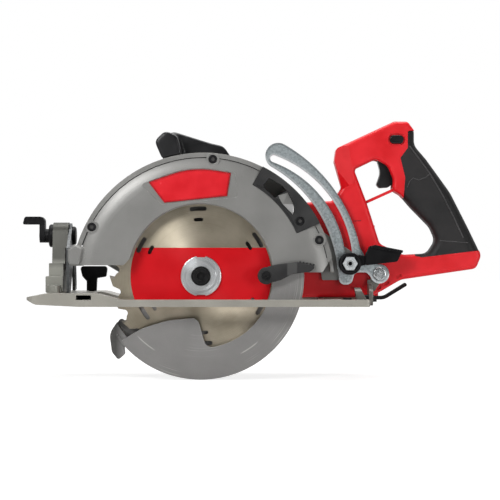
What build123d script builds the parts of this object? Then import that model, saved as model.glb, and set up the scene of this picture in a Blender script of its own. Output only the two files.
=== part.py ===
"""Rear handle circular saw with the blade on its left, as an assembly of separate pieces.

Frame: +X runs to the rear, +Y to the motor side, +Z up. The origin lies on the sole of the
shoe, straight below the arbor. Millimetres and degrees throughout.
"""
from build123d import *
from math import atan2, cos, degrees, hypot, pi, radians, sin, sqrt, tan
import os

# Blade and arbor
BLADE_R = 92.0               # a 184 mm blade
BLADE_BODY = 1.2             # plate thickness
BLADE_KERF = 1.8             # width over the carbide tips
TOOTH_COUNT = 24
BORE_R = 7.94                # five eighths of an inch arbor
CUT_DEPTH = 62.0             # blade below the sole with the saw fully down
BLADE_Y = -38.0              # mid plane of the blade
FLANGE_R = 20.5
BOLT_HEAD_R = 9.8
LOWER_R = BLADE_R + 11.5     # outside of the lower guard
GUARD_R = LOWER_R + 28.2     # outside of the upper guard's rim

# Clearances
RUN = 0.06                   # radial clearance of a shaft in its bore
GAP = 0.4                    # between faces that move past each other
SEAT = 0.02                  # between faces that are bolted together

# Upper guard
GUARD_DROP = 8.2             # the rim's centre lies this far below the arbor
GUARD_BACK = 2.2             # and this far behind it
GUARD_WALL = 3.2
COVER_Y = -56.0              # near face of the cover
COVER_LIP = 8.0              # depth of the cover's rim
GUARD_BACK_Y = -18.0         # far face of the casting
BACK_WALL = 4.0
WINDOW_R = 72.0              # round window in the cover
COVER_FOOT_Z = 41.0          # front lower edge of the cover
COVER_HEEL_Z = 34.0          # rear lower edge of the cover

# Lower guard
LOWER_WALL = 2.2
LOWER_NEAR_Y = -52.0
LOWER_FAR_Y = -31.0          # far face of its far wall
HUB_R = 20.0                 # boss that the lower guard turns on
HUB_END_Y = -34.5

# Gear train and motor
MODULE = 1.0
GEAR_TEETH = 47
PINION_TEETH = 11
GEAR_WIDTH = 8.0
GEAR_Y = -14.5               # near face of the gear
BACKLASH = 0.14
CASE_WALL = 2.7
CASE_BACK_Y = -6.0           # joint between gear case and bearing plate
MOTOR_FRONT_Y = 0.0          # joint between bearing plate and motor housing
MOTOR_END_Y = 88.0
MOTOR_ANGLE = 42.0           # the motor lies up and back from the arbor at this angle
MOTOR_R = 36.0
MOTOR_WALL = 3.0
MOTOR_LUGS = (60.0, 120.0, 170.0, 350.0)

# Shoe
SHOE_AHEAD = 42.5            # from the front of the guard's rim to the nose
SHOE_BEHIND = 34.1           # from the back of the rim to the end of the shoe
SHOE_NEAR_Y = -80.0
SHOE_FAR_Y = 70.0
SOLE_THICK = 4.0
SHOE_EDGE = 7.0              # height of the rim round the sole
NOSE_HEIGHT = 13.5           # boss that holds the fence slot
NOSE_LIFT = 2.2              # the sole turns up this far at the nose
FENCE_W = 15.0
FENCE_H = 4.6
FENCE_STOP = 8.0             # the fence slot ends this far inside the far edge

# Bevel and depth adjusters
BEVEL_Y = -44.0              # bevel axis, along X
BEVEL_Z = 8.0
BEVEL_MAX = 50.0
BEVEL_R = 71.0               # radius of the quadrant's slot
BEVEL_REST = 62.0            # the clamp bolt stands at this angle above the axis
BEVEL_BOLT_R = 4.0
QUADRANT_THICK = 3.0
PIVOT_Z = 50.0               # depth pivot at the front of the guard
PIVOT_BACK = 9.0             # from the front of the rim to the depth pivot
PIN_R = 4.0
DEPTH_MAX = 29.5             # the blade just clears the sole
ARM_THICK = 4.0
ARM_NEAR_Y = -27.0
ARM_RATIO = 0.65             # turn of the arm for each degree of depth swing
DEPTH_BOLT_R = 3.0

# Handle
FOOT_FAR_Y = 46.0            # outside of the battery foot
GRIP_THICK = 1.6             # overmould

# Positions that follow from the sizes above
ARBOR_Z = BLADE_R - CUT_DEPTH
RIM_Z = ARBOR_Z - GUARD_DROP
RIM = (GUARD_BACK, RIM_Z)                     # centre of the upper guard's rim
RIM_FRONT = GUARD_BACK - GUARD_R
RIM_REAR = GUARD_BACK + GUARD_R
SHOE_FRONT = SHOE_AHEAD - RIM_FRONT           # from the arbor to the nose
SHOE_REAR = RIM_REAR + SHOE_BEHIND
CENTRE_DISTANCE = MODULE * (GEAR_TEETH + PINION_TEETH) / 2
MOTOR_X = CENTRE_DISTANCE * cos(radians(MOTOR_ANGLE))
MOTOR_Z = ARBOR_Z + CENTRE_DISTANCE * sin(radians(MOTOR_ANGLE))
PIVOT_X = RIM_FRONT + PIVOT_BACK
QUADRANT_X = PIVOT_X - 14.0                   # front face of the steel quadrant
FENCE_X = PIVOT_X + 5.5                       # middle of the fence slot
KNOB_Y = 25.0
BEVEL_PIN_R = 3.5
CLAMP_Y = BEVEL_Y + BEVEL_R * cos(radians(BEVEL_REST))
CLAMP_Z = BEVEL_Z + BEVEL_R * sin(radians(BEVEL_REST))
BOLT_X = RIM_REAR + 16.1                      # depth clamp bolt
BOLT_Z = ARBOR_Z + 12.5
ARM_X = BOLT_X + 30.5                         # pin that the depth arm swings on
ARM_Z = BOLT_Z - 10.5
HANDLE_X = RIM_REAR - 4.4                     # the handle's outline is drawn from here


def slab(face, y0, y1):
    """A flat outline drawn in X and Z, as a solid from y0 to y1."""
    return extrude(Plane.XZ.offset(-y1) * face, amount=y1 - y0, dir=(0, -1, 0))


def panel(face, x0, x1):
    """A flat outline drawn in Y and Z, as a solid from x0 to x1."""
    return extrude(Plane.YZ.offset(x0) * face, amount=x1 - x0, dir=(1, 0, 0))


def layer(face, z0, z1):
    """A flat outline drawn in X and Y, as a solid from z0 to z1."""
    return extrude(Plane.XY.offset(z0) * face, amount=z1 - z0, dir=(0, 0, 1))


def block(x0, x1, y0, y1, z0, z1):
    """A plain box between two corners."""
    return Pos((x0 + x1) / 2, (y0 + y1) / 2, (z0 + z1) / 2) * Box(x1 - x0, y1 - y0, z1 - z0)


def disc(x, z, radius, y0, y1):
    """A round bar along Y."""
    return slab(Pos(x, z) * Circle(radius), y0, y1)


def bar_x(y, z, radius, x0, x1):
    """A round bar along X."""
    return panel(Pos(y, z) * Circle(radius), x0, x1)


def bar_z(x, y, radius, z0, z1):
    """A round bar along Z."""
    return layer(Pos(x, y) * Circle(radius), z0, z1)


def polar(radius, angle, centre=(0.0, 0.0)):
    """The point at that radius and angle, in degrees, about a centre."""
    a = radians(angle)
    return centre[0] + radius * cos(a), centre[1] + radius * sin(a)


def outline(*corners):
    """A closed face from (x, y, radius) corners, each rounded by a tangent arc of its radius."""
    count = len(corners)
    bends = []
    for i, (x, y, radius) in enumerate(corners):
        here = Vector(x, y)
        back = (Vector(*corners[i - 1][:2]) - here).normalized()
        ahead = (Vector(*corners[(i + 1) % count][:2]) - here).normalized()
        half = radians(back.get_angle(ahead)) / 2
        reach = radius / tan(half)
        middle = here + (back + ahead).normalized() * (radius / sin(half) - radius)
        bends.append((here + back * reach, middle, here + ahead * reach, radius))
    edges = []
    for i, (enter, middle, leave, radius) in enumerate(bends):
        start = bends[i - 1][2]
        if (enter - start).length > 1e-4:
            edges.append(Edge.make_line(start, enter))
        if radius:
            edges.append(Edge.make_three_point_arc(enter, middle, leave))
    return Face(Wire(edges))


def inset(corners, amount):
    """The corners of an anticlockwise outline, moved inwards by an amount for the inside of a wall."""
    count = len(corners)
    lines = []
    for i in range(count):
        a, b = Vector(*corners[i][:2]), Vector(*corners[(i + 1) % count][:2])
        along = (b - a).normalized()
        lines.append((a + Vector(-along.Y, along.X) * amount, along))
    moved = []
    for i in range(count):
        (p, d), (q, e) = lines[i - 1], lines[i]
        turn = d.X * e.Y - d.Y * e.X
        t = ((q - p).X * e.Y - (q - p).Y * e.X) / turn
        radius = corners[i][2] - amount if turn > 0 else corners[i][2] + amount
        moved.append(((p + d * t).X, (p + d * t).Y, max(radius, 0.5)))
    return moved


def sector(centre, inner, outer, start, stop):
    """A ring piece between two radii and two angles in degrees, anticlockwise from start to stop."""
    middle = (start + stop) / 2
    a, b, c = (polar(outer, t, centre) for t in (start, middle, stop))
    d, e, f = (polar(inner, t, centre) for t in (stop, middle, start))
    return Face(Wire([Edge.make_three_point_arc(a, b, c), Edge.make_line(c, d),
                      Edge.make_three_point_arc(d, e, f), Edge.make_line(f, a)]))


def slot_along(centre, radius, half_width, start, stop):
    """A slot with round ends along an arc."""
    ends = [Pos(*polar(radius, t, centre)) * Circle(half_width) for t in (start, stop)]
    return sector(centre, radius - half_width, radius + half_width, start, stop) + ends[0] + ends[1]


def bar_between(a, b, width):
    """A flat bar of that width from point a to point b, with square ends."""
    length = hypot(b[0] - a[0], b[1] - a[1])
    turn = degrees(atan2(b[1] - a[1], b[0] - a[0]))
    return Pos((a[0] + b[0]) / 2, (a[1] + b[1]) / 2) * Rot(0, 0, turn) * Rectangle(length, width)


# Shoe and what is fixed to it
SLOT_FRONT = LOWER_R + 2.5                    # opening for blade and guard, from the arbor
SLOT_REAR = LOWER_R + 15.0
SLOT_NEAR_Y = -66.0
SLOT_FAR_Y = -3.0
POST_X = QUADRANT_X - GAP                     # rear face of the bevel post
EAR_X = SHOE_REAR - 3.0                       # rear face of the rear bracket
SCREW_R = 2.5
POST_SCREWS = [(POST_X - 12.0, BEVEL_Y - 15.0), (POST_X - 12.0, 13.0)]
EAR_SCREWS = [(EAR_X - 18.0, BEVEL_Y - 7.0), (EAR_X - 18.0, BEVEL_Y + 7.0)]
TAB_TOP = NOSE_HEIGHT + SEAT + 7.5
TAB_SEAT = TAB_TOP - 3.4                      # the post's screw heads are sunk to here
PAD_Z = 58.0                                  # lower edge of the pad that the quadrant rubs on


def shoe():
    """The cast sole with its raised nose, rim, blade opening, fence slot and pivot seats."""
    side = outline((-SHOE_FRONT + 9, NOSE_LIFT, 10), (FENCE_X - 4, 0, 60), (SHOE_REAR, 0, 1.5),
                   (SHOE_REAR, SHOE_EDGE, 1.0), (FENCE_X + 37, SHOE_EDGE, 30), (FENCE_X + 14, NOSE_HEIGHT, 25),
                   (-SHOE_FRONT + 22, NOSE_HEIGHT, 20), (-SHOE_FRONT, 9.6, 1.0), (-SHOE_FRONT, 7.0, 1.0))
    plan = outline((-SHOE_FRONT, SHOE_NEAR_Y, 9), (SHOE_REAR, SHOE_NEAR_Y, 3),
                   (SHOE_REAR, SHOE_FAR_Y, 6), (-SHOE_FRONT, SHOE_FAR_Y, 24))
    body = slab(side, SHOE_NEAR_Y, SHOE_FAR_Y) & layer(plan, -1, NOSE_HEIGHT + 1)
    opening = outline((-SLOT_FRONT, SLOT_NEAR_Y, 4), (SLOT_REAR, SLOT_NEAR_Y, 4),
                      (SLOT_REAR, SLOT_FAR_Y, 4), (-SLOT_FRONT, SLOT_FAR_Y, 4))
    body -= layer(opening, -1, NOSE_HEIGHT + 1)
    root = LEVER_ROOT[0]
    body -= layer(outline((root - 13, SLOT_NEAR_Y - 7, 3), (root + 24, SLOT_NEAR_Y - 7, 3),
                          (root + 24, SLOT_NEAR_Y + 5, 0), (root - 13, SLOT_NEAR_Y + 5, 0)), -1, SHOE_EDGE + 1)
    edge = 4.0
    far_tray = outline((FENCE_X + 42, SLOT_FAR_Y + edge, 5), (SLOT_REAR, SLOT_FAR_Y + edge, 5),
                       (SLOT_REAR, SHOE_FAR_Y - edge, 5), (FENCE_X + 42, SHOE_FAR_Y - edge, 5))
    rear_tray = outline((SLOT_REAR + 5, SHOE_NEAR_Y + edge, 4), (EAR_X, SHOE_NEAR_Y + edge, 2),
                        (EAR_X, SHOE_FAR_Y - edge, 2), (SLOT_REAR + 5, SHOE_FAR_Y - edge, 4))
    for tray in (far_tray, rear_tray):
        body -= layer(tray, SOLE_THICK, NOSE_HEIGHT)
    for x in (-25.0, 40.0):
        body += block(x - 1.5, x + 1.5, SLOT_FAR_Y + 2, SHOE_FAR_Y - 2, SOLE_THICK - 1, SHOE_EDGE - 0.6)
    fence_z = NOSE_HEIGHT - 2.0
    body -= block(FENCE_X - FENCE_W / 2, FENCE_X + FENCE_W / 2, SHOE_NEAR_Y - 1, SHOE_FAR_Y - FENCE_STOP,
                  fence_z - FENCE_H, fence_z)
    body -= bar_z(FENCE_X, KNOB_Y, 3.0 + RUN, fence_z - 1, NOSE_HEIGHT + 1)
    body -= block(QUADRANT_X - GAP, QUADRANT_X + QUADRANT_THICK + GAP, BEVEL_Y - 28, BEVEL_Y + 11,
                  BEVEL_Z - 7.0, NOSE_HEIGHT + 1)
    body -= bar_x(BEVEL_Y, BEVEL_Z, BEVEL_PIN_R + RUN, QUADRANT_X - 9.5, QUADRANT_X + QUADRANT_THICK + 6.5)
    notch = BEVEL_PIN_R + RUN + GAP
    body -= bar_x(BEVEL_Y, BEVEL_Z, notch, EAR_X - 1, SHOE_REAR + 1)
    for x, y in POST_SCREWS:
        body -= bar_z(x, y, SCREW_R + SEAT, 4.0, NOSE_HEIGHT + 1)
    for x, y in EAR_SCREWS:
        body -= bar_z(x, y, SCREW_R + SEAT, 1.0, SOLE_THICK + 1)
    return body


def bevel_post():
    """The upright casting at the nose, in three steps, that the quadrant is clamped against."""
    foot = NOSE_HEIGHT + SEAT
    top_z = CLAMP_Z + 13.5
    steps = [(POST_X - 20.5, POST_X - 3.2, BEVEL_Y - 6, 8.0, foot, 30.0),
             (POST_X - 17.5, POST_X - 3.0, BEVEL_Y - 2, 5.0, foot, 43.0)]
    body = fillet(block(*steps[0]).edges().filter_by(Axis.Y), 1.2)
    body += fillet(block(*steps[1]).edges().filter_by(Axis.Y), 0.8)
    face = outline((BEVEL_Y + 8, 36, 3), (CLAMP_Y + 12, 36, 3), (CLAMP_Y + 14, top_z, 12),
                   (CLAMP_Y - 14, top_z, 12))
    body += panel(face, POST_X - 15.5, POST_X)
    body -= block(POST_X - 2.3, POST_X + 1, -100, 50, foot - 1, PAD_Z)
    tabs = outline((POST_X - 18.5, BEVEL_Y - 21, 5), (POST_X - 5.5, BEVEL_Y - 21, 5),
                   (POST_X - 5.5, 19.0, 5), (POST_X - 18.5, 19.0, 5))
    body += layer(tabs, foot, TAB_TOP)
    body -= bar_x(CLAMP_Y, CLAMP_Z, BEVEL_BOLT_R + SEAT, POST_X - 30, POST_X + 5)
    for x, y in POST_SCREWS:
        body -= bar_z(x, y, SCREW_R + SEAT, 0, TAB_TOP + 1)
        body -= bar_z(x, y, 4.4, TAB_SEAT, TAB_TOP + 1)
    return body


def rear_bracket():
    """The small bracket at the back of the shoe that holds the rear bevel pin."""
    ear = outline((BEVEL_Y - 9.5, SOLE_THICK + SEAT, 0.5), (BEVEL_Y + 9.5, SOLE_THICK + SEAT, 0.5),
                  (BEVEL_Y + 9.5, BEVEL_Z + 10.5, 8), (BEVEL_Y - 9.5, BEVEL_Z + 10.5, 8))
    lean = outline((EAR_X - 7.5, 0, 0), (EAR_X, 0, 0), (EAR_X, BEVEL_Z, 1), (EAR_X - 6, BEVEL_Z + 12, 1),
                   (EAR_X - 11.5, BEVEL_Z + 12, 1), (EAR_X - 9, BEVEL_Z, 1))
    body = panel(ear, EAR_X - 14, EAR_X + 1) & slab(lean, BEVEL_Y - 20, BEVEL_Y + 20)
    foot = outline((EAR_X - 24, BEVEL_Y - 12, 4), (EAR_X - SEAT, BEVEL_Y - 12, 1),
                   (EAR_X - SEAT, BEVEL_Y + 12, 1), (EAR_X - 24, BEVEL_Y + 12, 4))
    body += layer(foot, SOLE_THICK + SEAT, SOLE_THICK + 2.5)
    body -= bar_x(BEVEL_Y, BEVEL_Z, BEVEL_PIN_R + RUN, EAR_X - 20, EAR_X + 5)
    for x, y in EAR_SCREWS:
        body -= bar_z(x, y, SCREW_R + SEAT, 0, 20)
    return body


def shoe_screws():
    """The screws of the post and of the rear bracket, as one group."""
    group = []
    for x, y in POST_SCREWS:
        screw = bar_z(x, y, SCREW_R, 4.5, TAB_SEAT + 1) + bar_z(x, y, 4.2, TAB_SEAT + SEAT, TAB_SEAT + 3.2)
        group.append(screw - layer(Pos(x, y) * RegularPolygon(2.0, 6), TAB_SEAT + 1.5, TAB_SEAT + 4))
    top = SOLE_THICK + 2.5
    for x, y in EAR_SCREWS:
        group.append(bar_z(x, y, SCREW_R, 1.5, top + 1) + bar_z(x, y, 4.0, top + SEAT, top + 1.8))
    return Compound(children=group)


def bevel_bolt():
    """The clamp bolt through quadrant, post and lever, with its domed head behind the quadrant."""
    head_x = QUADRANT_X + QUADRANT_THICK + 0.1
    body = bar_x(CLAMP_Y, CLAMP_Z, BEVEL_BOLT_R, POST_X - 30.5, head_x + 1)
    head = bar_x(CLAMP_Y, CLAMP_Z, 9.5, head_x, head_x + 3.6)
    return body + fillet(head.edges().sort_by(Axis.X)[-1], 2.5)


def bevel_lever():
    """The lever that tightens the bevel clamp: a flange, a neck, an upright and a tongue."""
    flange = bar_x(CLAMP_Y, CLAMP_Z, 11.7, POST_X - 20.5, POST_X - 15.5 - 0.1)
    flange = fillet(flange.edges().sort_by(Axis.X)[0], 2.0)
    body = flange + bar_x(CLAMP_Y, CLAMP_Z, 7.0, POST_X - 30.0, POST_X - 19)
    web = outline((CLAMP_Y - 8, CLAMP_Z - 7, 6), (CLAMP_Y + 8, CLAMP_Z - 7, 6),
                  (CLAMP_Y + 7, CLAMP_Z + 13, 0), (CLAMP_Y - 7, CLAMP_Z + 13, 0))
    body += panel(web, POST_X - 30.0, POST_X - 24.5)
    side = outline((POST_X - 47.5, CLAMP_Z + 11.5, 1.5), (POST_X - 24.5, CLAMP_Z + 11.5, 0),
                   (POST_X - 24.5, CLAMP_Z + 19.5, 5.5), (POST_X - 45, CLAMP_Z + 19.5, 3))
    plan = outline((POST_X - 47.5, CLAMP_Y - 9, 6), (POST_X - 24.5, CLAMP_Y - 7, 1),
                   (POST_X - 24.5, CLAMP_Y + 7, 1), (POST_X - 47.5, CLAMP_Y + 9, 6))
    body += slab(side, CLAMP_Y - 10, CLAMP_Y + 10) & layer(plan, CLAMP_Z, CLAMP_Z + 21)
    body -= bar_x(CLAMP_Y, CLAMP_Z, BEVEL_BOLT_R + RUN, POST_X - 60, POST_X)
    return body


def fence_knob():
    """The T shaped knob that clamps the fence, with its screw moulded in."""
    side = outline((FENCE_X - 5.0, NOSE_HEIGHT + GAP, 1), (FENCE_X + 5.0, NOSE_HEIGHT + GAP, 1),
                   (FENCE_X + 5.6, 27, 1), (FENCE_X + 15, 28.5, 2), (FENCE_X + 16.5, 39.5, 3),
                   (FENCE_X - 12, 39.5, 3), (FENCE_X - 9.5, 29, 2), (FENCE_X - 5.0, 24, 1))
    body = slab(side, KNOB_Y - 4.5, KNOB_Y + 4.5)
    body += bar_z(FENCE_X, KNOB_Y, 5.2, NOSE_HEIGHT + GAP, 22)
    return body + bar_z(FENCE_X, KNOB_Y, 3.0, NOSE_HEIGHT - 2.0, 20)


# Tilt frame: what tilts with the saw but stays on the shoe when the depth is set
LUG_NEAR_Y = -50.0                            # inner face of the cover's pivot lug
LUG_FAR_Y = -28.0                             # inner face of the casting's pivot lug
LUG_RISE = 2.5                                # the cover's pivot lug stands out this far
TUBE_R = 8.0
TRUNNION_X = SHOE_REAR + 0.5                  # front face of the rear trunnion
TRUNNION_NEAR_Y = ARM_NEAR_Y + ARM_THICK + GAP
TRUNNION_FAR_Y = GUARD_BACK_Y - GAP


def bevel_quadrant():
    """The slotted steel quadrant with the tube that the depth pin runs through."""
    axis = (BEVEL_Y, BEVEL_Z)
    face = sector(axis, BEVEL_R - 9, BEVEL_R + 9, BEVEL_REST - BEVEL_MAX - 6.4, BEVEL_REST + 8.5)
    face += Pos(*axis) * Circle(6.4)
    face += outline((BEVEL_Y - 6.0, BEVEL_Z, 0), (BEVEL_Y + 6.0, BEVEL_Z, 0), (*polar(BEVEL_R - 6, 45, axis), 0),
                    (*polar(BEVEL_R + 4, BEVEL_REST + 8, axis), 0), (BEVEL_Y - 7.5, PIVOT_Z + TUBE_R, 3))
    face -= slot_along(axis, BEVEL_R, BEVEL_BOLT_R + GAP / 2, BEVEL_REST - BEVEL_MAX - 0.5, BEVEL_REST + 0.5)
    face -= Pos(*axis) * Circle(BEVEL_PIN_R + SEAT)
    body = panel(face, QUADRANT_X, QUADRANT_X + QUADRANT_THICK)
    tube_y = (LUG_NEAR_Y + GAP, LUG_FAR_Y - GAP)
    body += disc(PIVOT_X, PIVOT_Z, TUBE_R, *tube_y)
    body += block(QUADRANT_X + 1, PIVOT_X, *tube_y, PIVOT_Z - 7, PIVOT_Z + 6)
    return body - disc(PIVOT_X, PIVOT_Z, PIN_R + SEAT, LUG_NEAR_Y - 5, LUG_FAR_Y + 5)


def bevel_pins():
    """The front and rear pins that the saw tilts on, as one group."""
    ends = [(QUADRANT_X - 9.0, QUADRANT_X + QUADRANT_THICK + 6.0), (EAR_X - 8.5, TRUNNION_X + 5)]
    return Compound(children=[bar_x(BEVEL_Y, BEVEL_Z, BEVEL_PIN_R, a, b) for a, b in ends])


def depth_pivot_pin():
    """The pin at the front of the guard that the saw swings on for depth."""
    return disc(PIVOT_X, PIVOT_Z, PIN_R, COVER_Y + 1.5, GUARD_BACK_Y - 0.2)


def rear_trunnion():
    """The bent bracket from the rear bevel pin up to the pin of the depth arm."""
    plate = outline((BEVEL_Y - 8, BEVEL_Z - 7.5, 6), (BEVEL_Y + 12, BEVEL_Z - 7.5, 6), (TRUNNION_FAR_Y, 11, 2),
                    (TRUNNION_FAR_Y, 22, 1), (BEVEL_Y + 8, 22, 4), (BEVEL_Y - 8, BEVEL_Z + 8, 6))
    plate -= Pos(BEVEL_Y, BEVEL_Z) * Circle(BEVEL_PIN_R + SEAT)
    body = panel(plate, TRUNNION_X, TRUNNION_X + 4)
    lug = bar_between((TRUNNION_X + 3, 17), (ARM_X, ARM_Z), 10) + Pos(ARM_X, ARM_Z) * Circle(8.2)
    lug += outline((TRUNNION_X, 11, 1), (TRUNNION_X + 6, 13, 1), (TRUNNION_X + 8, 26, 1), (TRUNNION_X, 26, 1))
    lug -= Pos(ARM_X, ARM_Z) * Circle(PIN_R + SEAT)
    lug = slab(lug, TRUNNION_NEAR_Y, TRUNNION_FAR_Y)
    return body + (lug - block(TRUNNION_X - 20, TRUNNION_X, -60, 0, 0, 60))


def arm_pin():
    """The headed pin that the depth arm swings on."""
    head = disc(ARM_X, ARM_Z, 6.8, ARM_NEAR_Y - 3.2, ARM_NEAR_Y - 0.1)
    head -= slab(sector((ARM_X, ARM_Z), 3.3, 4.7, -70, 200), ARM_NEAR_Y - 5, ARM_NEAR_Y - 2.0)
    head = fillet(head.edges().sort_by(Axis.Y)[0], 1.4)
    return head + disc(ARM_X, ARM_Z, PIN_R, ARM_NEAR_Y - 1, TRUNNION_FAR_Y)


# Depth arm and its lever
SLOT_HALF = DEPTH_BOLT_R + 0.6
BAND = (RIM[0] + 3.5, RIM[1] + 3.4)           # centre of the arm's two edges
BAND_GAP = 0.9                                # the inner edge's radius is this much over the rim's
BAND_WIDTH = 26.0
BAND_ANGLES = (5.0, 60.3)


def turned(point, centre, angle):
    """A point turned anticlockwise about a centre, in degrees."""
    a = radians(angle)
    dx, dz = point[0] - centre[0], point[1] - centre[1]
    return centre[0] + dx * cos(a) - dz * sin(a), centre[1] + dx * sin(a) + dz * cos(a)


def bolt_in_arm(swing):
    """Where the clamp bolt stands in the arm, for that much depth swing."""
    raised = turned((BOLT_X, BOLT_Z), (PIVOT_X, PIVOT_Z), swing)
    return turned(raised, (ARM_X, ARM_Z), ARM_RATIO * swing)


def arc_centre(a, b, c):
    """The centre of the circle through three points."""
    d = 2 * (a[0] * (b[1] - c[1]) + b[0] * (c[1] - a[1]) + c[0] * (a[1] - b[1]))
    squares = [p[0] ** 2 + p[1] ** 2 for p in (a, b, c)]
    x = (squares[0] * (b[1] - c[1]) + squares[1] * (c[1] - a[1]) + squares[2] * (a[1] - b[1])) / d
    z = (squares[0] * (c[0] - b[0]) + squares[1] * (a[0] - c[0]) + squares[2] * (b[0] - a[0])) / d
    return x, z


def depth_arm():
    """The curved steel arm; its slot is the path of the clamp bolt while arm and saw both swing."""
    low, mid, high = (bolt_in_arm(t * DEPTH_MAX) for t in (0.0, 0.5, 1.0))
    centre = arc_centre(low, mid, high)
    radius = hypot(low[0] - centre[0], low[1] - centre[1])
    start, stop = (degrees(atan2(p[1] - centre[1], p[0] - centre[0])) for p in (low, high))
    inner = GUARD_R + BAND_GAP
    face = sector(BAND, inner, inner + BAND_WIDTH, *BAND_ANGLES)
    face += Pos(*polar(inner + BAND_WIDTH / 2, BAND_ANGLES[1], BAND)) * Circle(BAND_WIDTH / 2)
    face += outline((BOLT_X - 12.2, BOLT_Z + 4, 0), (BOLT_X - 10.3, BOLT_Z - 21.5, 6.1),
                    (BOLT_X + 2.3, BOLT_Z - 21.5, 6.1), (BOLT_X + 5, BOLT_Z - 9, 6), (BOLT_X + 17, BOLT_Z - 9, 5),
                    (ARM_X - 3, ARM_Z - 9, 1), (ARM_X, ARM_Z + 9.4, 1), (BOLT_X + 19, BOLT_Z + 1.5, 5),
                    (BOLT_X + 10.8, BOLT_Z + 16, 1), (BOLT_X, BOLT_Z + 16, 0))
    face += Pos(ARM_X, ARM_Z) * Circle(9.8)
    face -= slot_along(centre, radius, SLOT_HALF, start - 0.3, stop + 0.6)
    face -= Pos(ARM_X, ARM_Z) * Circle(PIN_R + RUN)
    return slab(face, ARM_NEAR_Y, ARM_NEAR_Y + ARM_THICK)


LEVER_NEAR_Y = ARM_NEAR_Y - 15.0
LEVER_FAR_Y = ARM_NEAR_Y - 0.1
LEVER_RIBS = 9


def depth_bolt():
    """The clamp bolt of the depth arm, screwed into the casting's lug."""
    end = LEVER_NEAR_Y - 3.0
    body = disc(BOLT_X, BOLT_Z, DEPTH_BOLT_R, end, GUARD_BACK_Y - 0.2)
    return body - disc(BOLT_X, BOLT_Z, DEPTH_BOLT_R - 1, end - 1, end + 5)


def depth_lever():
    """The black lever that tightens the depth clamp: a round hub, a neck and a paddle with a ribbed ledge."""
    x, z = BOLT_X, BOLT_Z
    hub = disc(x, z, 11.3, LEVER_NEAR_Y, LEVER_FAR_Y)
    hub = fillet(hub.edges().sort_by(Axis.Y)[0], 1.8)
    neck = outline((x + 5, z - 4, 0), (x + 17, z - 1, 0), (x + 17, z + 8, 0), (x + 5, z + 8.5, 0))
    body = hub + slab(neck, LEVER_NEAR_Y + 4.5, LEVER_FAR_Y - 4.5)
    paddle = outline((x + 15.7, z - 1.8, 1.5), (x + 47.6, z + 2, 3), (x + 53.2, z + 13.3, 1.5),
                     (x + 24.9, z + 18.8, 3), (x + 19.4, z + 17.5, 2), (x + 15.7, z + 9.6, 2))
    paddle = slab(paddle, LEVER_NEAR_Y + 1.0, LEVER_FAR_Y - 5.5)
    body += fillet(paddle.faces().sort_by(Axis.Y)[0].edges(), 0.8)
    ledge = outline((x + 19.6, z + 16.2, 0.8), (x + 52.4, z + 10.6, 0.8), (x + 53.2, z + 13.3, 0.8),
                    (x + 24.9, z + 18.8, 0.8))
    body += slab(ledge, LEVER_NEAR_Y - 2.0, LEVER_NEAR_Y + 3)
    for i in range(LEVER_RIBS):
        rib_x, rib_z = x + 24 + 3.2 * i, z + 16.4 - 0.6 * i
        rib = bar_between((rib_x, rib_z), (rib_x + 0.3, rib_z + 1.6), 1.4)
        body += slab(rib, LEVER_NEAR_Y - 2.7, LEVER_NEAR_Y)
    body -= disc(x, z, DEPTH_BOLT_R + RUN, LEVER_NEAR_Y - 5, LEVER_FAR_Y + 5)
    return body - disc(x, z, 8.2, LEVER_NEAR_Y - 5, LEVER_NEAR_Y + 3.5)


def depth_nut():
    """The hexagon nut in the hub of the depth lever."""
    face = Pos(BOLT_X, BOLT_Z) * (RegularPolygon(7.7, 6) - Circle(DEPTH_BOLT_R + SEAT))
    return slab(face, LEVER_NEAR_Y - 1.2, LEVER_NEAR_Y + 3.4)


# Upper guard and what is fixed to its near side
RIM_JOINT_Y = COVER_Y + COVER_LIP             # joint between casting and cover
SWEEP_R = LOWER_R + 1.2                       # kept clear for the lower guard
COVER_SCREWS = [(RIM_FRONT + 20.8, RIM_Z + 57.4), (12.2, RIM_Z + GUARD_R - 6.6),
                (RIM_REAR - 15.4, RIM_Z + 44.4)]
CHUTE_ANGLES = (24.0, 60.5)                   # dust chute, about the arbor
CHUTE_SCREW = polar(LOWER_R + 10.0, 29.0, (0, ARBOR_Z))
HOLE_R = 2.6
COVER_HEAD_R = 4.2                            # heads of the cover's screws
CROWN_WIDTH = 16.0                            # the cover falls away to its rim over this width
CROWN_DROP = 3.4
RAMP_LENGTH = 26.0                            # ramp inside the dust chute
FRONT_TRIM_X = PIVOT_X + 12.5                 # the casting stops here beside the depth pivot
FRONT_TRIM_Z = PIVOT_Z + 42.0


def guard_face(radius):
    """The upper guard's side outline: a round with a stepped lower edge and the blade window."""
    face = Pos(*RIM) * Circle(radius)
    far = 2 * GUARD_R
    face -= outline((-far, -far, 0), (far, -far, 0), (far, COVER_HEEL_Z, 0), (-far, COVER_HEEL_Z, 0))
    face -= outline((-far, 0, 0), (-60, 0, 0), (-60, COVER_FOOT_Z + 18, 0), (-WINDOW_R - 5, COVER_FOOT_Z, 3),
                    (-far, COVER_FOOT_Z, 0))
    corner = RIM_REAR - 12.6
    face -= outline((corner, COVER_HEEL_Z - 1, 0), (far, COVER_HEEL_Z - 1, 0), (far, COVER_HEEL_Z + 25, 0),
                    (corner + 9, COVER_HEEL_Z + 14, 0))
    return face - Pos(0, ARBOR_Z) * Circle(WINDOW_R)


def chute_outline(clearance):
    """The dust chute's outline, out to beyond the rim, grown by a clearance."""
    a, b = CHUTE_ANGLES
    turn = degrees(clearance / GUARD_R)
    return sector((0, ARBOR_Z), SWEEP_R + 0.3 - clearance, GUARD_R + 20, a - turn, b + turn)


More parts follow.
